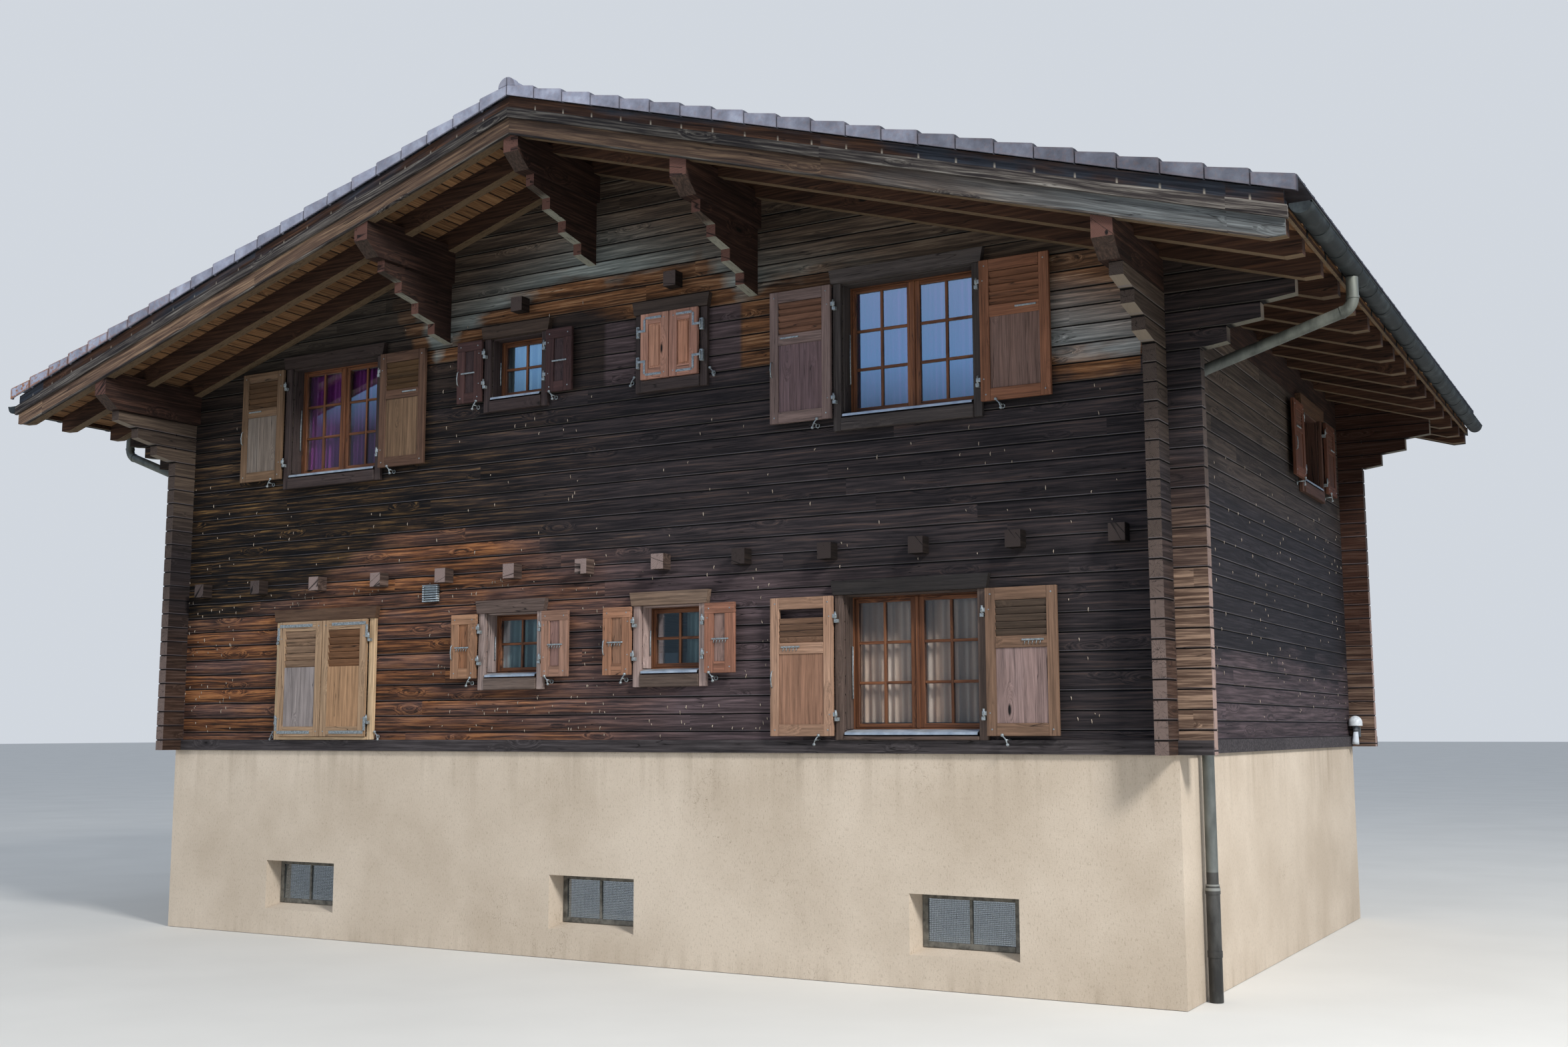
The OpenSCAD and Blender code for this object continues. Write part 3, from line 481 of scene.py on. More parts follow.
vergeTones = (
    "0.34 #171313, 0.46 #342f2e, 0.56 #5b5651, 0.7 #8e8a84", "0.3 #1a1412, 0.5 #3b2e26, 0.78 #6a5846",
    "0.3 #2a2a2a, 0.5 #4c4f50, 0.78 #757a7b", "0.3 #17191d, 0.5 #2c3038, 0.8 #4b5059",
    "0.3 #191210, 0.5 #38261d, 0.8 #6b4c38",
)


def vergeMaterial():
    # Brown lower board, grey strip in front of it and a dark board up to the tiles
    surface = newMaterial("vergeBoards", Roughness=0.8)
    x, y, z = parted(objectPlace())
    level = z + abs(x) * house["slope"]
    grain = placed("woodGrain", Vector=joined(x + floored(x / 3.1) * 7.3, level, y))
    strip, brown, slate, bluish, reddish = [ramp(grain["Streak"], stops) for stops in vergeTones]
    brown = mixed(span(x + grain["Patch"] * 3.0, 5.2, 6.8), brown, slate)
    # Painted light: the lower board is made brighter towards the left
    brown = tinted(brown, span(x, 1.0, -4.0, 1.35, 2.8))
    dark = mixed(span(grain["Patch"], 0.44, 0.56), bluish, reddish)
    colour = mixed(span(level, 7.44, 7.446), brown, dark)
    # A pale mark below every tile joint
    step = fraction(abs(x) / house["tile"])
    mark = span(abs(step - 0.955), 0.035, 0.01) * (span(level, 7.44, 7.444) * span(level, 7.495, 7.46))
    colour = mixed(mark * 0.8, colour, "#a79f92")
    strip = tinted(strip, span(abs(x - 1.5), 0.8, 3.4, 0.42, 1.0))
    colour = mixed(span(level, 7.226, 7.215), colour, strip)
    colour = mixed(span(abs(y), 4.5765, 4.5785) * span(level, 7.34, 7.35), colour, strip)
    finish(surface, darkCracks(colour, grain), grain["Height"], 0.4, 0.005)


def sashMaterial(name, stops):
    # Boards made here carry their own grain place and tint
    surface = newMaterial(name, Roughness=0.45)
    grain = placed("woodGrain", Vector=carried("grain", "Vector"))
    colour = tinted(ramp(grain["Streak"], stops), span(carried("tint", "Fac"), 0.0, 1.0, 0.75, 1.2))
    finish(surface, darkCracks(colour, grain), grain["Height"], 0.15, 0.004)


def coatedMaterial(name, low, high):
    # Boards that carry their own colour, varied by streaks, tint and fading
    surface = newMaterial(name, Roughness=0.7)
    place = carried("grain", "Vector")
    tint = carried("tint", "Fac")
    base = carried("base", "Color")
    grain = placed("woodGrain", Vector=place)
    streaks = grain["Streak"] * 0.8 + grain["Fine"] * 0.35
    bright = span(streaks, 0.3, 0.85, low, high) * span(tint, 0.0, 1.0, 0.84, 1.14)
    colour = tinted(base, bright)
    faded = span(grain["Patch"], 0.5, 0.72, 0.0, 0.7)
    colour = mixed(faded, colour, mixed(1.0, colour, (1.22, 1.3, 1.38, 1.0), "MULTIPLY"))
    colour = darkCracks(colour, grain)
    finish(surface, colour, grain["Height"], 0.35, 0.004)


stuccoLook = dict(base="#b8aa99", light="#cbbeae", stain="#7f705d", crack="#75654f", speck="#8a7d6c")


def stuccoMaterial():
    surface = newMaterial("stucco", Roughness=0.92)
    look, place = stuccoLook, objectPlace()
    z = parted(place)[2]
    runs = placed("rainRuns", Vector=place, Width=6.0)
    colour = mixed(span(runs["Blotch"], 0.35, 0.65), look["base"], look["light"])
    # Stains below the logs and above the ground
    stain = larger(span(z, 1.15, 1.83), span(z, 0.0, 0.22, 1.0, 0.0)) * span(runs["Runs"], 0.48, 0.7)
    colour = mixed(stain * 0.35, colour, look["stain"])
    wander = noiseAt(place, 1.3, 6.0, 0.65)
    rare = noiseAt(place, (0.5, 0.5, 0.5), 1.0, offset=(5.0, 1.0, 2.0))
    hairline = span(abs(wander - 0.5), 0.0, 0.0016, 1.0, 0.0) * span(rare, 0.57, 0.6)
    colour = mixed(hairline * 0.7, colour, look["crack"])
    specks = noiseAt(place, (85.0, 85.0, 30.0), 3.0, 0.7)
    colour = mixed(span(specks, 0.54, 0.72, 0.0, 0.55), colour, look["speck"])
    lumps, waves = noiseAt(place, 70.0, 4.0, 0.6), noiseAt(place, 7.0, 3.0, 0.5)
    finish(surface, colour, lumps * 0.6 + waves * 0.8 - hairline, 0.45, 0.006)


def concreteMaterial():
    surface = newMaterial("concrete", Roughness=0.9)
    place = objectPlace()
    cloud = noiseAt(place, 2.5, 6.0, 0.6)
    colour = ramp(cloud, "0.35 #8b867e, 0.65 #a7a299")
    finish(surface, colour, noiseAt(place, 60.0, 3.0), 0.2, 0.003)


pipeLook = dict(iron="0.4 #383837, 0.68 #565654", brown="0.35 #595d5b, 0.68 #777b78",
                zinc="0.35 #4c4f4a, 0.68 #70736c", ring="#9a9c98", standTop=0.95, bendLow=4.75)


def pipeMaterial():
    # Dark iron foot, brownish fall and a grey-green neck
    surface = newMaterial("downpipe", Metallic=0.35)
    look = pipeLook
    place = objectPlace()
    z = parted(place)[2]
    cloud = noiseAt(place, (9.0, 9.0, 3.0), 5.0, 0.6)
    iron, brown, zinc = [ramp(cloud, look[part]) for part in ("iron", "brown", "zinc")]
    colour = mixed(span(z, look["standTop"], look["standTop"] + 0.002), iron, brown)
    colour = mixed(span(z, look["bendLow"], look["bendLow"] + 0.2), colour, zinc)
    rings = larger(inside(z, 0.85, 0.862, 0.002), inside(z, 0.815, 0.836, 0.002))
    colour = mixed(rings * 0.8, colour, look["ring"])
    finish(surface, colour, noiseAt(place, 30.0, 3.0), 0.08, 0.001, span(cloud, 0.3, 0.7, 0.42, 0.62))


zincLook = dict(base="#2e3334", light="#43494a", dark="#1f2223")


def zincMaterial():
    surface = newMaterial("zinc", Metallic=0.25)
    look = zincLook
    place = objectPlace()
    runs = placed("rainRuns", Vector=place, Width=22.0)
    colour = mixed(span(runs["Runs"], 0.35, 0.65), look["dark"], look["base"])
    colour = mixed(span(noiseAt(place, 5.0, 5.0, 0.65), 0.5, 0.72), colour, look["light"])
    finish(surface, colour, noiseAt(place, 30.0, 3.0), 0.12, 0.002, span(runs["Runs"], 0.3, 0.7, 0.55, 0.72))


def metalMaterial(name, light, dark, metallic=0.0, rough=(0.35, 0.6), scale=40.0, louvre=0.0):
    surface = newMaterial(name, Metallic=metallic)
    place = objectPlace()
    cloud = noiseAt(place, scale, 5.0, 0.6)
    colour = ramp(cloud, f"0.35 {dark}, 0.62 {light}")
    if louvre:
        # Painted shade: a dark band in every louvre step, where the gaps between the blades lie in shade
        blade = fraction(parted(place)[2] / louvre)
        colour = mixed(span(blade, 0.5, 0.75), colour, logLook["deep"])
    finish(surface, colour, noiseAt(place, scale * 6, 2.0), 0.1, 0.001, span(cloud, 0.3, 0.7, *rough))


glassLook = {"Metallic": 0.26, "Specular IOR Level": 0.5, "Transmission Weight": 1.0, "Roughness": 0.02,
             "IOR": 1.45, "Base Color": (0.84, 0.92, 1.0, 1.0)}


def glassMaterial():
    surface = newMaterial("windowGlass", **glassLook)
    relief(surface, noiseAt(objectPlace(), 2.2, 2.0), 0.04, 0.01)
    clear = put("ShaderNodeBsdfTransparent", {"Color": (0.86, 0.9, 0.92, 1.0)})
    shadow = put("ShaderNodeLightPath")["Is Shadow Ray"]
    both = put("ShaderNodeMixShader", {0: shadow, 1: surface[0], 2: clear[0]})
    Node(graph["tree"].nodes["Material Output"]).take(0, both[0])


tileLook = dict(body="0.3 #4b4d57, 0.5 #5b5e6a, 0.72 #6d717d", rust="#8a5a36")


def tileMaterial():
    surface = newMaterial("roofTile", Roughness=0.85)
    place = objectPlace()
    x, y, z = parted(place)
    # Painted light: the tiles are made brighter towards the middle and over the left slope
    colour = tinted(ramp(noiseAt(place, 6.0, 6.0, 0.65), tileLook["body"]), span(x, 5.6, 0.5, 1.0, 2.5))
    spots = noiseAt(place, 28.0, 4.0, 0.6)
    # Lichen in spots and along the free edges of a tile, thickest on the left slope
    step = fraction(abs(x) / house["tile"])
    level = z + abs(x) * house["slope"] - tileUnder(0.0)
    rim = larger(span(step, 0.1, 0.03), span(step, 0.9, 0.97))
    rim = larger(rim, span(level, 0.022, 0.008))
    rim = larger(rim, span(level - step * 0.032, 0.066, 0.08))
    rim = rim * facing(1) * span(spots, 0.36, 0.46)
    grown = larger(span(spots, 0.53, 0.63), rim)
    colour = mixed(grown * larger(span(x, -3.5, -6.5) * 0.9, 0.1), colour, tileLook["rust"])
    bright = span(carried("tint", "Fac"), 0.0, 1.0, 0.8, 1.15)
    # Painted shade: darker close to each course edge, where the tiles overlap
    bright = bright * span(smaller(step, 1.0 - step), 0.005, 0.03, 0.35, 1.0)
    finish(surface, tinted(colour, bright), noiseAt(place, 120.0, 4.0), 0.3, 0.003)


def clothMaterial(name, dark, light):
    surface = newMaterial(name, Roughness=0.95)
    place = objectPlace()
    fold = noiseAt(place, (9.0, 9.0, 0.5), 3.0)
    weave = noiseAt(place, (900.0, 900.0, 900.0), 1.0)
    finish(surface, ramp(fold, f"0.3 {dark}, 0.7 {light}"), weave, 0.2, 0.001)


for build in (frontLogMaterial, sideLogMaterial, stuccoMaterial, concreteMaterial, zincMaterial, tileMaterial,
              glassMaterial, vergeMaterial, pipeMaterial):
    build()
metalMaterial("ventMetal", "#c3ccd0", "#98a4a9", metallic=0.3, louvre=0.0225)
metalMaterial("galvanised", "#a3aaab", "#70777a", metallic=0.5, scale=60.0)
metalMaterial("sillSheet", "#a9b1b8", "#858e96", metallic=0.4, rough=(0.3, 0.5), scale=8.0)
metalMaterial("cellarFrame", "#77746c", "#4f4d48", metallic=0.3, scale=20.0)
metalMaterial("meshWire", "#6c716e", "#4b504e", metallic=0.5)
metalMaterial("whiteEnamel", "#d5dbe0", "#b4bcc4", rough=(0.25, 0.4))
metalMaterial("opalGlass", "#c3cbd4", "#a7b0bb", rough=(0.12, 0.25), scale=6.0)
metalMaterial("lampHolder", "#6b7075", "#4d5256", metallic=0.3)
metalMaterial("pegs", "#b0a496", "#7d7166", rough=(0.7, 0.9))
clothMaterial("purpleCloth", "#86307c", "#bf5fae")
clothMaterial("whiteCloth", "#e6b795", "#fbdcc4")
clothMaterial("netCloth", "#86a09b", "#b9cdc7")
beamMaterial("purlinTimber", 1, "0.3 #150e0c, 0.5 #2f201b, 0.78 #5a4034", ends=("#402924", "#6c4e45"),
             underLight="#86867a")
beamMaterial("joistTimber", 1, "0.3 #211a18, 0.5 #4a3c36, 0.75 #75635a", ends=("#5b4d4a", "#9b8984"),
             shadeByPlace=(1.0, 1.5, 0.15))
beamMaterial("rafterTimber", 0, "0.3 #1e1411, 0.5 #402c22, 0.78 #624532", cellSize=0.3077, underLight="#675642")
beamMaterial("roofBoard", 1, "0.3 #3a2718, 0.5 #7d5b3e, 0.78 #a07e59", cellSize=0.14, seam=0.010)
beamMaterial("floorBoard", 0, "0.3 #5a4028, 0.5 #866344, 0.75 #a07d58", cellSize=0.12, seam=0.003)
beamMaterial("sideTimber", 2, "0.3 #2b211b, 0.5 #5a4030, 0.78 #7d5c42")
beamMaterial("dripTimber", 0, "0.3 #221f20, 0.5 #403b3c, 0.78 #666062", cellSize=3.0)
sashMaterial("sashTimber", "0.3 #33211a, 0.5 #643f2a, 0.75 #885c40")
coatedMaterial("casingTimber", 0.18, 1.60)
coatedMaterial("shutterTimber", 0.20, 1.64)

dress = {
    "stucco": "plinth_front plinth_back plinth_left plinth_right",
    "concrete": "cellar_floor ground_floor",
    "floorBoard": "upper_floor",
    "joistTimber": "floor_joists ceiling_beams",
    "frontLogs": "front_wall_lower front_wall_upper front_gable back_wall_lower back_wall_upper back_gable",
    "sideLogs": "left_wall right_wall",
    "dripTimber": "drip_boards",
    "purlinTimber": "ridge_purlin mid_purlin_left mid_purlin_right eave_purlin_left eave_purlin_right",
    "rafterTimber": "rafters_left rafters_right fascia_boards",
    "roofBoard": "roof_boards battens",
    "roofTile": "tiles_left tiles_right ridge_tiles",
    "vergeBoards": "verge_boards",
    "zinc": "gutter_left gutter_right",
    "downpipe": "downpipe_left downpipe_right",
    "sideTimber": "front_casings back_casings front_windows back_windows side_windows "
                  "front_shutters back_shutters side_shutters",
    "windowGlass": "front_glass back_glass side_glass",
    "cellarFrame": "cellar_grilles",
    "ventMetal": "vent_grille",
    "whiteEnamel": "wall_lamp",
}
for kind, nodes in dress.items():
    for node in nodes.split():
        if not cad[node].material_slots:
            cad[node].data.materials.append(mats[kind])
        for slot in cad[node].material_slots:
            slot.material = mats[kind]
print("stage: frame pieces dressed")


# Made pieces: a pile of boards, rods and turned shapes becomes one mesh

hair = 0.0005  # keeps touching faces apart
cornerSigns = [(x, y, z) for x in (-1, 1) for y in (-1, 1) for z in (-1, 1)]


def linked(name, data):
    made = bpy.data.objects.new(name, data)
    scene.collection.objects.link(made)
    return made


def mirrored(side):
    return Matrix.Scale(side, 4, (1, 0, 0))  # 1 for the right half of the house, -1 for the left


def rounded(sides):
    return [2 * math.pi * k / sides for k in range(sides)]


def tubeFaces(rings, sides, closed=True):
    faces = []
    for i in range(0, (rings - 1) * sides, sides):
        for k in range(sides):
            n = (k + 1) % sides
            faces.append((i + k, i + n, i + sides + n, i + sides + k))
    if closed:
        faces += [tuple(range(sides)), tuple((rings - 1) * sides + k for k in range(sides))]
    return faces


def chamferFaces():
    at = {(c, k): 3 * cornerSigns.index(c) + k for c in cornerSigns for k in range(3)}
    ring = [(-1, -1), (1, -1), (1, 1), (-1, 1)]
    faces = [tuple(3 * i + k for k in range(3)) for i in range(8)]
    for axis in range(3):
        first, second = [k for k in range(3) if k != axis]

        def corner(sign, a, b):
            c = {axis: sign, first: a, second: b}
            return c[0], c[1], c[2]

        faces += [tuple(at[corner(sign, a, b), axis] for a, b in ring) for sign in (-1, 1)]
        for a, b in ring:
            low, high = corner(-1, a, b), corner(1, a, b)
            faces.append((at[low, first], at[high, first], at[high, second], at[low, second]))
    return faces


boardFaces = chamferFaces()


class Pile:
    def __init__(self, name, material, slotName, *stands):
        self.name, self.material, self.slotName, self.stands = name, material, slotName, stands
        self.points, self.faces, self.grain, self.tint, self.smooth, self.bases = [], [], [], [], [], []
        self.base = "#4a3f38"
        self.place = Matrix.Identity(4)

    def add(self, points, faces, tint=None, axis=2, smooth=False, turn=None):
        tint = rng.random() if tint is None else tint
        a, b, c = grainOrder[axis]
        shift = rng.uniform(0.0, 40.0)
        start = len(self.points)
        for point in points:
            self.grain += [point[a] + shift, point[b] + shift, point[c]]
            self.points.append(self.place @ (turn @ Vector(point) if turn else Vector(point)))
            self.tint.append(tint)
            self.bases.extend(rgb(self.base))
        for face in faces:
            self.faces.append([start + i for i in face])
            self.smooth.append(smooth)

    def board(self, low, high, axis=2, edge=0.003, tint=None, turn=None):
        middle = [(a + b) / 2 for a, b in zip(low, high)]
        half = [abs(b - a) / 2 for a, b in zip(low, high)]
        edge = min([edge] + [h * 0.45 for h in half])
        points = [[middle[i] + corner[i] * (half[i] - (0 if i == k else edge)) for i in range(3)]
                  for corner in cornerSigns for k in range(3)]
        self.add(points, boardFaces, tint, axis, False, turn)

    def frame(self, x, z, y, posts, rails, edge=0.003, postTint=lambda: None):
        # Two posts at full height and two rails between them
        left, right = x[0] + posts[0], x[1] - posts[1]
        for a, b in ((x[0], left), (right, x[1])):
            self.board((a, y[0], z[0]), (b, y[1], z[1]), 2, edge, postTint())
        for a, b in ((z[0], z[0] + rails), (z[1] - rails, z[1])):
            self.board((left, y[0], a), (right, y[1], b), 0, edge)

    def rod(self, path, radius, sides=8, tint=0.5, closed=True):
        path = [Vector(p) for p in path]
        radii = radius if isinstance(radius, list) else [radius] * len(path)
        points = []
        for i, point in enumerate(path):
            ahead = path[min(i + 1, len(path) - 1)] - path[max(i - 1, 0)]
            ahead.normalize()
            side = ahead.orthogonal() if i == 0 else side - ahead * side.dot(ahead)
            side.normalize()
            other = ahead.cross(side)
            points += [point + radii[i] * (math.cos(a) * side + math.sin(a) * other) for a in rounded(sides)]
        self.add(points, tubeFaces(len(path), sides, closed), tint, 2, True)

    def stud(self, centre, radius, height, tint=0.5, sides=8):
        # Round head standing out towards -Y
        x, y, z = centre
        points = [(x + radius * scale * math.cos(a), y - far, z + radius * scale * math.sin(a))
                  for far, scale in ((0.0, 1.0), (height * 0.6, 0.92), (height, 0.5)) for a in rounded(sides)]
        self.add(points, tubeFaces(3, sides), tint)

    def turned(self, outline, centre, lean=Matrix.Identity(3), sides=28):
        points = [lean @ Vector((radius * math.cos(a), radius * math.sin(a), height)) + Vector(centre)
                  for radius, height in outline for a in rounded(sides)]
        self.add(points, tubeFaces(len(outline), sides), 0.5, 2, True)

    def sweep(self, outline, start, end, axis=1, tint=None, grainAxis=None):
        # Flat outline in the two other axes, drawn out along axis
        points = []
        for level in (start, end):
            for pair in outline:
                points.append([*pair[:axis], level, *pair[axis:]])
        self.add(points, tubeFaces(2, len(outline)), tint, axis if grainAxis is None else grainAxis)

    def make(self):
        mesh = bpy.data.meshes.new(self.name)
        mesh.from_pydata([tuple(p) for p in self.points], [], self.faces)
        mesh.attributes.new("grain", "FLOAT_VECTOR", "POINT").data.foreach_set("vector", self.grain)
        mesh.attributes.new("tint", "FLOAT", "POINT").data.foreach_set("value", self.tint)
        if self.material in ("shutterTimber", "casingTimber"):
            mesh.attributes.new("base", "FLOAT_COLOR", "POINT").data.foreach_set("color", self.bases)
        mesh.polygons.foreach_set("use_smooth", self.smooth)
        shaped = bmesh.new()
        shaped.from_mesh(mesh)
        bmesh.ops.recalc_face_normals(shaped, faces=shaped.faces)
        shaped.to_mesh(mesh)
        shaped.free()
        mesh.materials.append(mats[self.material])
        piece = linked(self.name, mesh)
        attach(piece, "root")
        if self.stands:
            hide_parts(*self.stands)


# Windows, casings and shutters are drawn with the log face at y = 0 and the room towards +y

frontPlace = Matrix.Translation((0, -house["halfDeep"], 0))
backPlace = Matrix.Scale(-1, 4, (0, 1, 0)) @ frontPlace
rightPlace = Matrix.Translation((house["halfWide"], 0, 0)) @ Matrix.Rotation(math.pi / 2, 4, "Z")
leftPlace = mirrored(-1) @ rightPlace

# A window is its middle, its foot, its width and its height
windowSet = dict(
    bigWide=1.20, bigHigh=1.12, bigX=3.235, smallWide=0.62, smallHigh=0.57, smallX=(-0.86, 0.915),
    lowSill=2.01, highSill=4.66, side=(1.72, 4.52, 0.92, 0.72),
    post=0.075, postThick=0.04, head=0.118, sill=0.108, back=0.125, frame=0.060,
    outer=0.024, play=0.002, rim=0.062, stile=0.120, bar=0.024, lining=0.013,
)
lowestBoard = house["plinth"] + 0.1085
frontWindows = []
for bottom in (windowSet["lowSill"], windowSet["highSill"]):
    for side in (-1, 1):
        frontWindows.append((side * windowSet["bigX"], bottom, windowSet["bigWide"], windowSet["bigHigh"]))
    for x in windowSet["smallX"]:
        frontWindows.append((x, bottom + windowSet["bigHigh"] - windowSet["smallHigh"] - 0.01,
                             windowSet["smallWide"], windowSet["smallHigh"]))

# Colours of the posts, head and foot of each window, then frame, slats and panel of its left and right leaf
timberTones = dict(
    upLeft="#3d3331 #332a27 #3d3331 #66513f #4d3826 #6b6159 #553f33 #45321f #6b5542",
    upRight="#403a38 #443e3c #403a38 #6d5c58 #634536 #655254 #764f3b #6a4632 #6f5850",
    upSmall="#3a302f #463931 #3a302f #432f2d #3a2a29 #372a2a #402d2c #3a2a29 #372a2a",
    upInner="#3b3230 #3d332d #3b3230 #9d7565 #9d7565 #a87c67 #997061 #997061 #a3745e",
    lowLeft="#b89d7d #5b4536 #b89d7d #957b62 #826955 #8c8381 #957b62 #6c4c35 #a48162",
    lowRight="#54463f #2f2b29 #54463f #937460 #6e5443 #896754 #6f5747 #4c3f35 #85706c",
    # The feet of the lower small windows are darker than their posts: painted shadow under the sill sheet
    lowSmall="#93827c #5b4d47 #5a4d46 #916e56 #8f6a4c #835c43 #8a6a5a #8a5f48 #81645d",
    lowInner="#a08b84 #6f5c4e #54473f #8d6751 #8a6450 #80604d #825a49 #7f5747 #897068",
    side="#4d352b #58402f #4d352b #633d2d #583626 #5e3b2c #5c392b #523325 #583728",
)
frontLooks = dict(lowLeft="closed", upInner="panels", lowRight="gap")  # all the others are plain


def spot(w):
    if 0.8 < w[2] < 1.0:
        return "side"
    left, right = ("Left", "Right") if w[2] > 1.0 else ("Small", "Inner")
    return ("up" if w[1] > 4 else "low") + (left if w[0] < 0 else right)


def edges(w):
    return w[0] - w[2] / 2, w[0] + w[2] / 2, w[1], w[1] + w[3]


def buildCasing(pile, w):
    s, (post, head, foot) = windowSet, timberTones[spot(w)].split()[:3]
    x0, x1, z0, top = edges(w)
    low, out = z0 - s["sill"] - 0.042, -s["postThick"]
    bottom = max(low, lowestBoard)
    pile.base = post
    for x in (x0 - s["post"], x1):
        pile.board((x, out, bottom), (x + s["post"], -hair, top - hair), 2, 0.004)
    # Lining of the reveal
    thick, deep = s["lining"], s["back"] - 0.001
    for a, b in ((x0 + hair, x0 + thick), (x1 - thick, x1 - hair)):
        pile.board((a, 0.001, z0 + 0.017), (b, deep, top - hair), 2, 0.002)
    pile.board((x0 + thick, 0.001, top - thick), (x1 - thick, deep, top - hair), 0, 0.002)
    # Head board with slanted ends
    pile.base = head
    foot0, foot1, high = s["post"] + 0.008, s["post"] + 0.030, top + s["head"]
    outline = [(x0 - foot0, top), (x1 + foot0, top), (x1 + foot1, high), (x0 - foot1, high)]
    pile.sweep(outline, out - 0.018, -hair, 1, None, 0)
    if low + s["sill"] > bottom + 0.01:
        pile.base = foot
        pile.board((x0 + hair, out - 0.014, bottom), (x1 - hair, -hair, low + s["sill"]), 0, 0.006)


def buildSash(pile, w):
    # Fixed frame, casements with their posts and rails, and glazing bars
    s, large = windowSet, w[2] > 0.8
    x0, x1, z0, z1 = edges(w)
    y, outer, gap = s["back"], s["outer"], 0.0015
    pile.frame((x0, x1), (z0, z1), (y, y + s["frame"]), (outer, outer), outer, 0.002)
    inset = outer + s["play"]
    wide, meeting, half = s["rim"] - inset, s["stile"] / 2 - gap, s["bar"] / 2
    lights = [(x0 + inset, x1 - inset, wide, wide)]
    if large:
        lights = [(x0 + inset, w[0] - gap, wide, meeting), (w[0] + gap, x1 - inset, meeting, wide)]
        pile.board((w[0] - 0.013, y - 0.007, z0 + outer), (w[0] + 0.015, y + 0.012, z1 - outer), 2, 0.004)
    low, high = z0 + inset, z1 - inset
    for a, b, left, right in lights:
        pile.frame((a, b), (low, high), (y + 0.004, y + s["frame"] - 0.006), (left, right), wide)
        a, b, foot, head = a + left, b - right, low + wide, high - wide
        middle, rows = (a + b) / 2, 3 if large else 2
        for front, rear in ((y + 0.010, y + 0.0219), (y + 0.0381, y + 0.048)):
            pile.board((middle - half, front, foot), (middle + half, rear, head))
            for k in range(1, rows):
                z = foot + (head - foot) * k / rows
                pile.board((a, front + 0.001, z - half), (middle - half, rear, z + half), 0)
                pile.board((middle + half, front + 0.001, z - half), (b, rear, z + half), 0)


def buildSill(pile, w):
    # Sheet metal sill that falls out of the reveal
    inset, back = windowSet["lining"] + 0.001, windowSet["back"]
    x0, x1, z = edges(w)[:3]
    outline = [(back, z + 0.014), (0.002, z + 0.004), (-0.046, z - 0.010), (-0.050, z - 0.030),
               (-0.047, z - 0.030), (-0.043, z - 0.013), (0.004, z + 0.001), (back, z + 0.011)]
    pile.sweep(outline, x0 + inset, x1 - inset, 0, 0.5)


# Shutters: a large leaf has slats over a panel, a small one a sunk panel, the closed small pair a raised one

leafSet = dict(thick=0.034, off=0.006, stile=0.084, rail=0.098, narrowStile=0.315, narrowHead=0.094,
               lap=0.018, slats=5, lean=20.0)


def buildRaisedPanel(wood, x0, x1, z0, z1, front, back, tones):
    stile, rail, lap = leafSet["stile"], leafSet["rail"], leafSet["lap"]
    wood.base = tones[0]
    wood.frame((x0, x1), (z0, z1), (front, back), (stile, stile), rail)
    x0, x1, z0, z1 = x0 + stile, x1 - stile, z0 + rail, z1 - rail
    wood.base = tones[2]
    wood.board((x0, front + 0.010, z0), (x1, back - 0.006, z1), 2, 0.002)
    wood.board((x0 + lap, front + 0.001, z0 + lap), (x1 - lap, front + 0.012, z1 - lap), 2, 0.010)


def buildNarrowPanel(wood, x0, x1, z0, z1, front, back, tones):
    stile = (x1 - x0) * leafSet["narrowStile"]
    foot, head = z0 + leafSet["rail"], z1 - leafSet["narrowHead"]
    wood.base = tones[0]
    for a, b in ((x0, x0 + stile), (x1 - stile, x1)):
        wood.board((a, front, z0), (b, back, head))
    wood.board((x0, front, head), (x1, back, z1), 0)
    wood.board((x0 + stile, front, z0), (x1 - stile, back, foot), 0)
    wood.base = tones[2]
    wood.board((x0 + stile, front + 0.013, foot), (x1 - stile, back - 0.006, head), 2, 0.002)


def buildSlatted(wood, x0, x1, z0, z1, front, back, tones, look, panelTop, midLow, boards):
    stile, rail, slats, top = leafSet["stile"], leafSet["rail"], leafSet["slats"], z1 - leafSet["rail"]
    wood.base = tones[0]
    wood.frame((x0, x1), (z0, z1), (front, back), (stile, stile), rail, 0.003, lambda: rng.uniform(0.3, 0.8))
    x0, x1 = x0 + stile, x1 - stile
    if midLow < panelTop:
        wood.board((x0, front, midLow), (x1, back, panelTop), 0)
    if look == "gap":
        slats, top = slats - 1, top - (top - panelTop) * 0.26
    step = (top - panelTop) / slats
    wood.base = tones[1]
    for k in range(slats):
        low = panelTop + k * step
        middle = Matrix.Translation(((x0 + x1) / 2, (front + back) / 2, low + step / 2))
        turn = middle @ Matrix.Rotation(math.radians(leafSet["lean"]), 4, "X") @ middle.inverted()
        wood.board((x0, front + 0.010, low), (x1, front + 0.020, low + step - 0.002), 0, turn=turn)
    wood.base = tones[2]
    cuts = sorted(x0 + (x1 - x0) * (k + rng.uniform(-0.2, 0.2)) / boards for k in range(1, boards))
    proud = 0.004 if look == "closed" else 0.009
    for a, b in zip([x0] + cuts, cuts + [x1]):
        wood.board((a + hair, front + proud, z0 + rail), (b - hair, back - 0.008, midLow), 2, 0.0015)


def buildComb(metal, x0, x1, z, front):
    # Row of bent teeth below a bar
    for k in range(5):
        x = x0 + (x1 - x0) * (k + 0.5) / 5
        metal.rod([(x, front + 0.001, z), (x - 0.002, front - 0.007, z - 0.012),
                   (x - 0.006, front - 0.004, z - 0.028)], 0.0032, 6, 0.15)


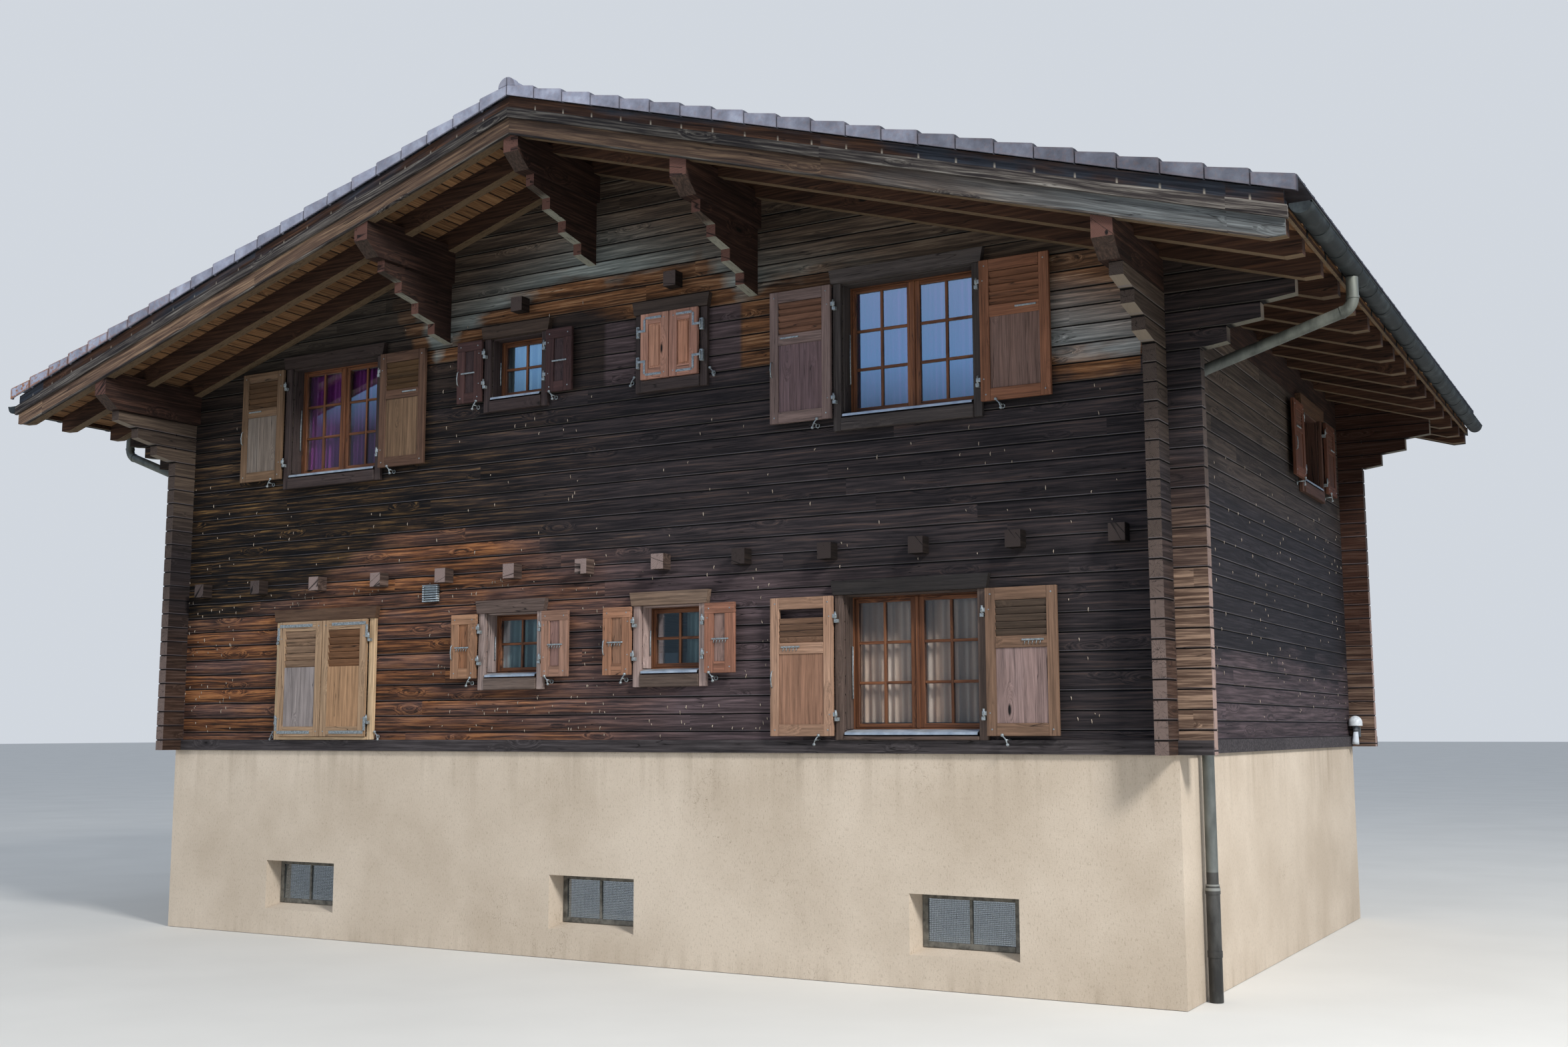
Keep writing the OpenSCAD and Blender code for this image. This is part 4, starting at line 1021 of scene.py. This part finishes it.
def buildHoldback(metal, x, z, hinge, front):
    # Spindle out of the wall, a ring round it and a toggle with a ball at each end
    metal.rod([(x, -hair, z), (x, front - 0.004, z)], 0.006)
    metal.rod([(x + 0.017 * math.cos(a), -0.012, z - 0.012 + 0.017 * math.sin(a))
               for a in rounded(10) + [2 * math.pi]], 0.0045, 6, 0.6)
    high, low = x + hinge * 0.030, x - hinge * 0.012
    metal.rod([(high, front - 0.008, z + 0.034), (x, front - 0.006, z), (low, front - 0.008, z - 0.036)],
              [0.006, 0.005, 0.006], 8, 0.7)
    for a, b in ((high, z + 0.036), (low, z - 0.038)):
        metal.stud((a, front - 0.002, b), 0.013, 0.016, 1.0, 10)


def buildStrap(metal, out, long, z, front, upper, stepped, z0, z1):
    # Angle strap along the leaf's rail and up its stile; on the panelled leaves it steps in like a Z
    wide = 0.022 if stepped else 0.030
    near, far = (0.056, long * 0.75) if stepped else (0.006, long * 0.78)
    rail = (z1 - 0.042 if upper else z0 + 0.042) - wide / 2
    metal.board((out(-near), front - 0.005, rail), (out(-far), front + 0.001, rail + wide), 0, 0.0015, 0.6)
    tab = (z1 - 0.157 if upper else z0 + 0.165) - wide / 2 if stepped else z
    low, high = (tab, rail) if upper else (rail + wide, tab + wide)
    metal.board((out(-near), front - 0.0055, low), (out(wide - near), front + 0.001, high), 2, 0.0015, 0.6)
    if stepped:
        metal.board((out(-near), front - 0.0057, tab), (out(0.026), front + 0.0012, tab + wide), 0,
                    0.0015, 0.6)
        metal.board((out(0.018), front + 0.006, tab - 0.045), (out(0.052), -0.041, tab + 0.060), tint=0.5)
        metal.rod([(out(0.030), front, tab - 0.030), (out(0.030), front, tab + 0.045)], 0.008, 10, 0.3)
    for k in range(3):
        x = out(-near - 0.02 - (far - near - 0.04) * k / 2)
        metal.stud((x, front - 0.005, rail + wide / 2), 0.006, 0.003, 0.8)


def buildLeaf(wood, metal, x0, x1, z0, z1, hinge, look, tones, low, boards):
    # hinge is -1 or 1, the side the leaf hangs on
    back = -windowSet["postThick"] - leafSet["off"]
    front = back - leafSet["thick"]
    high, wide = z1 - z0, x1 - x0
    closed, raised = look == "closed", look == "panels"
    narrow = wide < 0.4 and not raised
    panelTop = z1 - high * (0.40 if closed else 0.33)
    midLow = panelTop if closed else z1 - high * 0.41
    leaf = (wood, x0, x1, z0, z1, front, back, tones)
    if raised:
        buildRaisedPanel(*leaf)
    elif narrow:
        buildNarrowPanel(*leaf)
        midLow = panelTop = z1 - high * 0.54
    else:
        buildSlatted(*leaf, look, panelTop, midLow, boards)
    # Screws, hinge knuckles and straps
    for x in (x0 + 0.045, x1 - 0.045):
        for z in (z0 + 0.05, z1 - 0.05):
            metal.stud((x, front, z), 0.007, 0.003, 0.9)
    edge = x0 if hinge < 0 else x1

    def out(distance):
        return edge + hinge * distance

    for share in (0.27, 0.76) if narrow else (0.14, 0.84):
        z = z0 + high * share
        if closed or raised:
            buildStrap(metal, out, wide, z, front, share > 0.5, raised, z0, z1)
        if raised:
            continue
        metal.board((out(0.001), front + 0.002, z - 0.002), (out(0.040), front + 0.010, z + 0.032), 0,
                    0.002, 0.5)
        pin, y = out(0.026), front + 0.006
        metal.rod([(pin, y, z - 0.012), (pin, y, z + 0.05)], 0.0085, 10, 0.6)
        metal.board((out(0.014), front + 0.004, z - 0.040), (out(0.046), -0.038, z - 0.010), 1, 0.002, 0.4)
        metal.stud((out(-0.03), front, z + 0.015), 0.006, 0.003, 0.8)
    if closed or raised:
        return
    # Handle, with a comb on the lower storey, pull bow and holdback
    z = (midLow + panelTop) / 2 + 0.006
    handle = (x0 if hinge > 0 else x1) + hinge * wide * 0.18
    a, b = sorted((handle, handle + hinge * min(0.18, 0.56 * wide)))
    metal.board((a, front - 0.009, z), (b, front + 0.001, z + 0.014), 0, 0.003, 0.9)
    if low:
        buildComb(metal, a + 0.01, b - 0.01, z, front)
    if hinge > 0:
        x, z = x0 + 0.02, z0 + high * 0.41
        metal.rod([(x, front + 0.002, z - 0.07), (x, front - 0.016, z - 0.055), (x - 0.003, front - 0.020, z),
                   (x, front - 0.016, z + 0.055), (x, front + 0.002, z + 0.07)], 0.005, 8, 0.8)
    buildHoldback(metal, out(-wide * 0.27), z0 - 0.030, hinge, front)


def buildShutters(wood, metal, w, look):
    x0, x1, z0, z1 = edges(w)
    z0, z1 = z0 - 0.04, z1 - 0.006
    wide, beside, tones = w[2] / 2 - 0.008, windowSet["post"] + 0.004, timberTones[spot(w)].split()
    shut = look in ("closed", "panels")
    for number, hinge in enumerate((-1, 1) if shut else (1, -1)):
        if shut:
            a = x0 + 0.004 if hinge < 0 else x1 - 0.004 - wide
        else:
            a = x0 - beside - wide if hinge > 0 else x1 + beside
        buildLeaf(wood, metal, a, a + wide, z0, z1, hinge, "plain" if look == "gap" and hinge < 0 else look,
                  tones[3 + 3 * number:6 + 3 * number], w[1] < 4, 2 if spot(w) == "upLeft" else 1)
        if shut:
            x = a + wide / 2 + hinge * (wide / 2 + windowSet["post"] + 0.055)
            buildHoldback(metal, x, z0 + 0.01, -hinge, -0.02)


def buildStays(metal, w):
    # White stay bar lying in the left reveal
    x = w[0] - w[2] / 2 + 0.014 + windowSet["lining"]
    low, high = w[1] + w[3] * 0.24, w[1] + w[3] * 0.62
    metal.rod([(x - 0.012, 0.100, high), (x, 0.088, high), (x, 0.084, (low + high) / 2), (x, 0.088, low),
               (x - 0.012, 0.100, low)], 0.006, 8, 1.0)


def dressWalls(prefix, places, windows, looks, *casingNode):
    piles = [Pile(prefix + "Casings", "casingTimber", "casing_wood", *casingNode),
             Pile(prefix + "Sashes", "sashTimber", "window_wood", prefix + "_windows"),
             Pile(prefix + "Sills", "sillSheet", "zinc_sheet"),
             Pile(prefix + "Shutters", "shutterTimber", "shutter_wood", prefix + "_shutters"),
             Pile(prefix + "ShutterFittings", "galvanised", "grille_steel")]
    casings, sashes, sills, shutters, fittings = piles
    for place in places:
        for pile in piles:
            pile.place = place
        for w, look in zip(windows, looks):
            buildCasing(casings, w)
            buildSash(sashes, w)
            buildSill(sills, w)
            buildShutters(shutters, fittings, w, look)
            if look in ("plain", "gap"):
                buildStays(fittings, w)
    for pile in piles:
        pile.make()


dressWalls("front", [frontPlace], frontWindows, [frontLooks.get(spot(w), "plain") for w in frontWindows],
           "front_casings")
dressWalls("back", [backPlace], frontWindows, ["plain"] * len(frontWindows), "back_casings")
dressWalls("side", [rightPlace, leftPlace], [windowSet["side"]], ["plain"])
print("stage: windows and shutters made")


# Roof tiles: every course lies on the one below, the verge tiles turn down over the boards

roofSet = dict(courses=22, columns=31, verge=4.617, low=0.088, rise=0.032, thick=0.020, flank=0.016,
               back=0.045, lip=0.016)
# Section of a tile as share of its width and height
tileSection = ((0.70, 0.0), (0.76, 0.008), (0.90, 0.010), (0.97, 0.004), (1.0, -0.004))


def buildTile(pile, x0, x1, y0, y1):
    s = roofSet
    lift = [rng.uniform(-0.0015, 0.0015) for k in range(2)]
    back, nose = x0 - s["back"], x1 - 0.010
    stations = [(back, tileUnder(back) + s["low"] - 0.006), (x0, tileUnder(x0) + s["low"] + lift[0] - 0.002),
                (nose, tileUnder(nose) + s["low"] + s["rise"] * 0.97 + lift[1] - 0.002),
                (x1, tileUnder(x1) + s["low"] + s["rise"] + lift[1] - 0.006)]
    y, wide = y0 + 0.001, y1 - y0 - 0.002
    section = [(0.0, -0.003), (0.012, 0.0)] + [(wide * share, up) for share, up in tileSection]
    points = [(x, y + far, z + min(up, 0.0) + max(up, 0.0) * 0.5 - 0.004)
              for x, z in stations for far, up in section]
    count, top = len(section), len(points)
    points += [(x, y + far, z - s["thick"]) for x, z in (stations[0], stations[-1]) for far in (0.0, wide)]
    faces = [(i * count + k, i * count + k + 1, (i + 1) * count + k + 1, (i + 1) * count + k)
             for i in range(len(stations) - 1) for k in range(count - 1)]
    faces += [(*range(top - count, top), top + 3, top + 2), (*range(count), top + 1, top),
              (*range(0, top, count), top + 2, top), (*range(count - 1, top, count), top + 3, top + 1),
              (top, top + 1, top + 3, top + 2)]
    pile.add(points, faces, None, 1)


def buildTiles(side, name, node):
    s = roofSet
    pile = Pile(name, "roofTile", "roof_tile", node)
    pile.place = mirrored(side)
    course, wide, last = house["tile"], 2 * s["verge"] / s["columns"], s["columns"] - 1
    for i in range(s["courses"]):
        x0, x1 = i * course, (i + 1) * course
        for k in range(s["columns"]):
            y = -s["verge"] + k * wide
            buildTile(pile, x0, x1, y + 0.004 * (k == 0), y + wide - 0.004 * (k == last))
        top0, top1 = tileUnder(x0) + s["low"] - 0.003, tileUnder(x1) + s["low"] + s["rise"] - 0.004
        a, b, lip = x0 + 0.003, x1 - 0.001, x1 - s["lip"]
        for sign in (-1, 1):
            outer, inner = sign * s["verge"], sign * (s["verge"] - s["flank"])
            shift = rng.uniform(-0.002, 0.002)
            outline = [(a, tileUnder(x0) + 0.001), (x1 - 0.003, tileUnder(x1) + 0.001), (b, top1 - 0.010),
                       (x1 - 0.012, top1 + shift), (a, top0 + shift)]
            pile.sweep(outline, *sorted((outer, inner)))
            # Turned lip at the lower end
            outline = [(lip, tileUnder(lip)), (b, tileUnder(x1)), (b, top1 - 0.012), (lip, top1 - 0.008)]
            pile.sweep(outline, *sorted((inner, inner - sign * 0.02)))
    pile.make()


buildTiles(1, "tilesRight", "tiles_right")
buildTiles(-1, "tilesLeft", "tiles_left")
print("stage: roof tiles laid")


# Gutter beads and the soldered laps along the troughs

gutterSet = dict(x=6.686, z=5.462, radius=0.076, half=4.575, bead=0.009, laps=3, lapStep=2.3, lapWide=0.035)


def buildGutterTrim():
    s = gutterSet
    pile = Pile("gutterTrim", "zinc", "zinc_sheet")
    arc = [math.radians(a) for a in range(185, 356, 17)]
    bow = [(s["radius"] + 0.003, a) for a in arc] + [(s["radius"] - 0.002, a) for a in reversed(arc)]
    outline = [(s["x"] + radius * math.cos(a), s["z"] + radius * math.sin(a)) for radius, a in bow]
    for side in (1, -1):
        pile.place = mirrored(side)
        x, z = s["x"] + s["radius"] - 0.004, s["z"] - 0.004
        pile.rod([(x, -s["half"], z), (x, s["half"], z)], s["bead"])
        for k in range(s["laps"]):
            y = -s["half"] + s["lapStep"] * (k + 1) - 0.2
            pile.sweep(outline, y, y + s["lapWide"])
    pile.make()


buildGutterTrim()


# Cellar windows: frame, close mesh and a pane behind it

cellarSet = dict(wide=0.93, low=0.255, top=0.73, gap=3.585, middle=0.07, splay=0.11, deep=0.15, rim=0.045,
                 wire=0.0022, step=0.0145, reveal=0.38)


def buildCellarWindows():
    s, rim, y = cellarSet, cellarSet["rim"], cellarSet["deep"]
    bars = Pile("cellarFrames", "cellarFrame", "grille_steel", "cellar_grilles")
    wires = Pile("cellarMesh", "meshWire", "grille_steel")
    panes = Pile("cellarPanes", "windowGlass", "window_glass")
    inset = y * s["splay"] / s["reveal"] + 0.006
    for place in (frontPlace, backPlace):
        bars.place = wires.place = place
        for i in (-1, 0, 1):
            x = s["middle"] + i * s["gap"]
            x0, x1, z0, z1 = x - s["wide"] / 2 + inset, x + s["wide"] / 2 - inset, s["low"] + inset, s["top"]
            bars.frame((x0, x1), (z0, z1), (y, y + 0.024), (rim, rim), rim)
            x0, x1, z0, z1 = x0 + rim, x1 - rim, z0 + rim, z1 - rim
            bars.board((x - 0.012, y + 0.002, z0), (x + 0.012, y + 0.022, z1))
            columns, rows = int((x1 - x0) / s["step"]), int((z1 - z0) / s["step"])
            for k in range(1, columns):
                a = x0 + (x1 - x0) * k / columns
                wires.rod([(a, y + 0.006, z0), (a, y + 0.006, z1)], s["wire"] / 2, 4, closed=False)
            for k in range(1, rows):
                a = z0 + (z1 - z0) * k / rows
                wires.rod([(x0, y + 0.008, a), (x1, y + 0.008, a)], s["wire"] / 2, 4, closed=False)
    bars.make()
    wires.make()
    for place in (frontPlace, backPlace):
        panes.place = place
        for i in (-1, 0, 1):
            x, half = s["middle"] + i * s["gap"], s["wide"] / 2 - inset - rim
            panes.board((x - half, 0.166, s["low"] + inset + rim), (x + half, 0.170, s["top"] - rim), 2, hair)
    panes.make()


buildCellarWindows()
print("stage: gutters and cellar windows made")


# Curtains, gathered behind the windows: name, cloth, middle of the window, row of windows, both edges as
# shares of half its width, and pleats

curtainSet = dict(back=0.215, pleat=0.020, rows=6, hung=(
    ("curtainUpperRightA", "purpleCloth", 3.235, "high", -1.0, -0.02, 9),
    ("curtainUpperRightB", "purpleCloth", 3.235, "high", 0.02, 1.0, 9),
    ("curtainUpperLeftA", "purpleCloth", -3.235, "high", -1.0, 0.02, 9),
    ("curtainUpperLeftB", "purpleCloth", -3.235, "high", 0.06, 1.0, 9),
    ("curtainLowerRightA", "whiteCloth", 3.235, "low", -1.0, -0.02, 8),
    ("curtainLowerRightB", "whiteCloth", 3.235, "low", 0.02, 1.0, 8),
    ("curtainUpperSmall", "netCloth", -0.86, "highSmall", -1.0, 1.0, 7),
    ("curtainLowerSmallA", "netCloth", -0.86, "lowSmall", -1.0, 1.0, 7),
    ("curtainLowerSmallB", "netCloth", 0.915, "lowSmall", 0.1, 1.0, 4),
))


def buildCurtain(name, material, x0, x1, z0, z1, pleats, fullness):
    columns, rows, points = pleats * 8, curtainSet["rows"], []
    for j in range(rows + 1):
        v = j / rows
        for i in range(columns + 1):
            u = i / columns
            wave = math.sin(u * pleats * 2 * math.pi + 0.5 * math.sin(3 * u))
            depth = fullness * (0.55 + 0.45 * (1 - v)) * wave
            points.append((x0 + (x1 - x0) * u, curtainSet["back"] + depth, z0 + (z1 - z0) * v))
    faces = [(a, a + 1, a + columns + 2, a + columns + 1)
             for j in range(rows) for a in range(j * (columns + 1), j * (columns + 1) + columns)]
    hem, head = [sum(math.dist(points[k + i], points[k + i + 1]) for i in range(columns))
                 for k in (0, rows * (columns + 1))]
    mesh = bpy.data.meshes.new(name)
    mesh.from_pydata([tuple(frontPlace @ Vector(p)) for p in points], [], faces)
    mesh.polygons.foreach_set("use_smooth", [True] * len(faces))
    mesh.materials.append(mats[material])
    cloth = linked(name, mesh)
    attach(cloth, "root")


for name, kind, x, level, a, b, pleats in curtainSet["hung"]:
    small, upper = level.endswith("Small"), level.startswith("high")
    half = windowSet["smallWide" if small else "bigWide"] / 2 - 0.03
    bottom = windowSet["highSill" if upper else "lowSill"]
    top = bottom + windowSet["bigHigh"] - 0.03
    low = top - windowSet["smallHigh"] + 0.05 if small else bottom + (0.03 if upper else 0.07)
    buildCurtain(name, kind, x + a * half, x + b * half, low, top - 0.01 * small, pleats,
                 curtainSet["pleat"] * (1.0 if level == "high" else 0.7))


# Nails and pegs that stand out of the logs

nailSet = dict(front=330, side=150, shape=[0.0028, 0.0042, 0.0020], sideShape=[0.002, 0.0028, 0.0014])


def buildNails():
    pile = Pile("logNails", "pegs", "log_wood")

    def peg(x, z, lean, proud, high, radii, lightest):
        pile.rod([(x, -hair, z), (x + lean, -proud, z - high / 2), (x + lean, -hair, z - high)], radii, 5,
                 rng.uniform(lightest, 1.0))

    pile.place = frontPlace
    blocked = [(w[0] - w[2] * 1.02 - 0.10, w[0] + w[2] * 1.02 + 0.10, w[1] - 0.2, w[1] + w[3] + 0.16)
               for w in frontWindows]
    made = 0
    while made < nailSet["front"]:
        x, z = rng.uniform(-5.3, 5.3), rng.uniform(1.98, 6.2)
        if rng.random() > (0.9 if z < 3.45 and x < 2.2 else 0.16):
            continue
        if z > purlinUnder(x) - 0.2 or any(a < x < b and c < z < d for a, b, c, d in blocked):
            continue
        level = (z - house["firstJoint"]) / house["course"]
        if abs(level - round(level)) < 0.12:
            continue
        high, lean = rng.uniform(0.010, 0.036), rng.uniform(-0.006, 0.006)
        peg(x, z, lean, 0.0035, high, nailSet["shape"], 0.4)
        made += 1
    pile.place = rightPlace
    made = 0
    while made < nailSet["side"]:
        y, z = rng.uniform(-3.2, 3.2), rng.uniform(1.98, 4.4)
        if 0.5 < y < 2.9 and z > 4.2:
            continue
        peg(y, z, 0.0, 0.0025, rng.uniform(0.010, 0.035), nailSet["sideShape"], 0.5)
        made += 1
    pile.make()


buildNails()
print("stage: curtains and nails made")


# Wall lamp: ribbed cap, grey holder, glass cone

lampSet = dict(x=5.48, y=3.225, z=2.051, radius=0.072, off=0.026, lean=184.0)


def buildLamp():
    s = lampSet
    x, y, z, r = s["x"], s["y"], s["z"], s["radius"]
    front = y - r - s["off"]
    cap = Pile("lampCap", "whiteEnamel", "lamp_enamel", "wall_lamp")
    dome = [(r * math.cos(math.radians(a)), r / 2 + r * math.sin(math.radians(a))) for a in range(15, 90, 15)]
    cap.turned([(r * 0.98, 0.0), (r, 0.004), (r, r / 2)] + dome + [(0.004, r * 1.5)], (x, front, z))
    for side in (-1, 1):
        cap.rod([(x + side * 0.004, front - r * math.cos(a), z + r / 2 + r * math.sin(a) - 0.001)
                 for a in (0.0, 0.35, 0.7, 1.05, 1.35)], 0.0022, 6)
    cap.make()
    holder = Pile("lampHolder", "lampHolder", "lamp_enamel")
    holder.board((x - 0.035, y - 0.024, z - 0.12), (x + 0.035, y - hair, z - 0.01), 2, 0.006)
    holder.board((x - 0.016, front, z - 0.07), (x + 0.016, y - 0.02, z + 0.001), 1, 0.005)
    holder.turned([(0.030, 0.0), (0.034, -0.012), (0.030, -0.040), (0.026, -0.062)], (x, front, z))
    holder.make()
    cone = Pile("lampCone", "opalGlass", "lamp_enamel")
    cone.turned([(0.024, 0.0), (0.030, 0.05), (0.036, 0.10), (0.040, 0.138), (0.037, 0.137), (0.033, 0.10),
                 (0.021, 0.003)], (x, front, z - 0.06), Matrix.Rotation(math.radians(s["lean"]), 3, "Y"))
    cone.make()


buildLamp()
print("stage: lamp made")


# Camera, floor and light

cameraSet = dict(place=(8.803, -15.180, 2.0164), turn=(97.3171, 0.1505, 29.6709), lens=37.01)
camera = linked("camera", bpy.data.cameras.new("camera"))
camera.data.lens, camera.data.sensor_width, camera.data.clip_end = cameraSet["lens"], 36.0, 500.0
camera.location = cameraSet["place"]
camera.rotation_euler = [math.radians(a) for a in cameraSet["turn"]]
scene.camera = camera

floorSet = dict(reach=260.0, level=-0.004, light="#d9d8d4", dark="#d3d2ce")
floor = linked("floor", bpy.data.meshes.new("floor"))
reach, level = floorSet["reach"], floorSet["level"]
floor.data.from_pydata([(x * reach, y * reach, level) for x, y in ((-1, -1), (1, -1), (1, 1), (-1, 1))], [],
                       [(0, 1, 2, 3)])
surface = newMaterial("paleFloor", Roughness=0.9)
cloud = span(noiseAt(objectPlace(), 0.6, 3.0), 0.3, 0.7)
surface.take("Base Color", mixed(cloud, floorSet["light"], floorSet["dark"]))
floor.data.materials.append(mats["paleFloor"])

lightSet = dict(sky=(0.84, 0.91, 1.0, 1.0), skyPower=0.60, seen=(0.80, 0.85, 0.92, 1.0), seenPower=0.8,
                through=(0.10, 0.13, 0.15, 1.0), throughPower=0.5, mirrorPower=1.25,
                mirror=[(0.36, (0.04, 0.05, 0.06, 1.0)), (0.45, (0.30, 0.58, 1.0, 1.0)),
                        (0.60, (0.48, 0.66, 1.0, 1.0)), (1.0, (0.34, 0.52, 0.95, 1.0))],
                keyPlace=(20.5, -12.5, 17.0), keyPower=6700.0, keySize=4.5,
                fillPlace=(-13.0, -19.0, 6.0), fillPower=900.0, fillSize=8.0, aim=(0.0, 0.0, 3.5))
scene.world = bpy.data.worlds.new("studio")
scene.world.use_nodes = True
graph["tree"] = scene.world.node_tree
graph["tree"].nodes.clear()


def skyLight(colour, power):
    return put("ShaderNodeBackground", {"Color": colour, "Strength": power})[0]


def chosen(ray, usual, other):
    return put("ShaderNodeMixShader", {0: put("ShaderNodeLightPath")[ray], 1: usual, 2: other})[0]


up = parted(put("ShaderNodeTexCoord")["Generated"])[2]
mirror = skyLight(ramp(span(up, 0.0, 0.5), lightSet["mirror"]), lightSet["mirrorPower"])
sky = chosen("Is Glossy Ray", skyLight(lightSet["sky"], lightSet["skyPower"]), mirror)
sky = chosen("Is Transmission Ray", sky, skyLight(lightSet["through"], lightSet["throughPower"]))
sky = chosen("Is Camera Ray", sky, skyLight(lightSet["seen"], lightSet["seenPower"]))
put("ShaderNodeOutputWorld", {0: sky})


def softLight(name, place, power, size, colour):
    lamp = linked(name, bpy.data.lights.new(name, "AREA"))
    lamp.data.energy, lamp.data.size, lamp.data.color = power, size, colour
    lamp.location = place
    lamp.rotation_euler = (Vector(lightSet["aim"]) - Vector(place)).to_track_quat("-Z", "Y").to_euler()
    return lamp


softLight("keyLight", lightSet["keyPlace"], lightSet["keyPower"], lightSet["keySize"], (1.0, 0.98, 0.95))
fill = softLight("fillLight", lightSet["fillPlace"], lightSet["fillPower"], lightSet["fillSize"],
                 (0.94, 0.97, 1.0))
fill.visible_glossy = fill.visible_transmission = False
scene.view_settings.view_transform = "Standard"
print("stage: camera, floor and light set")
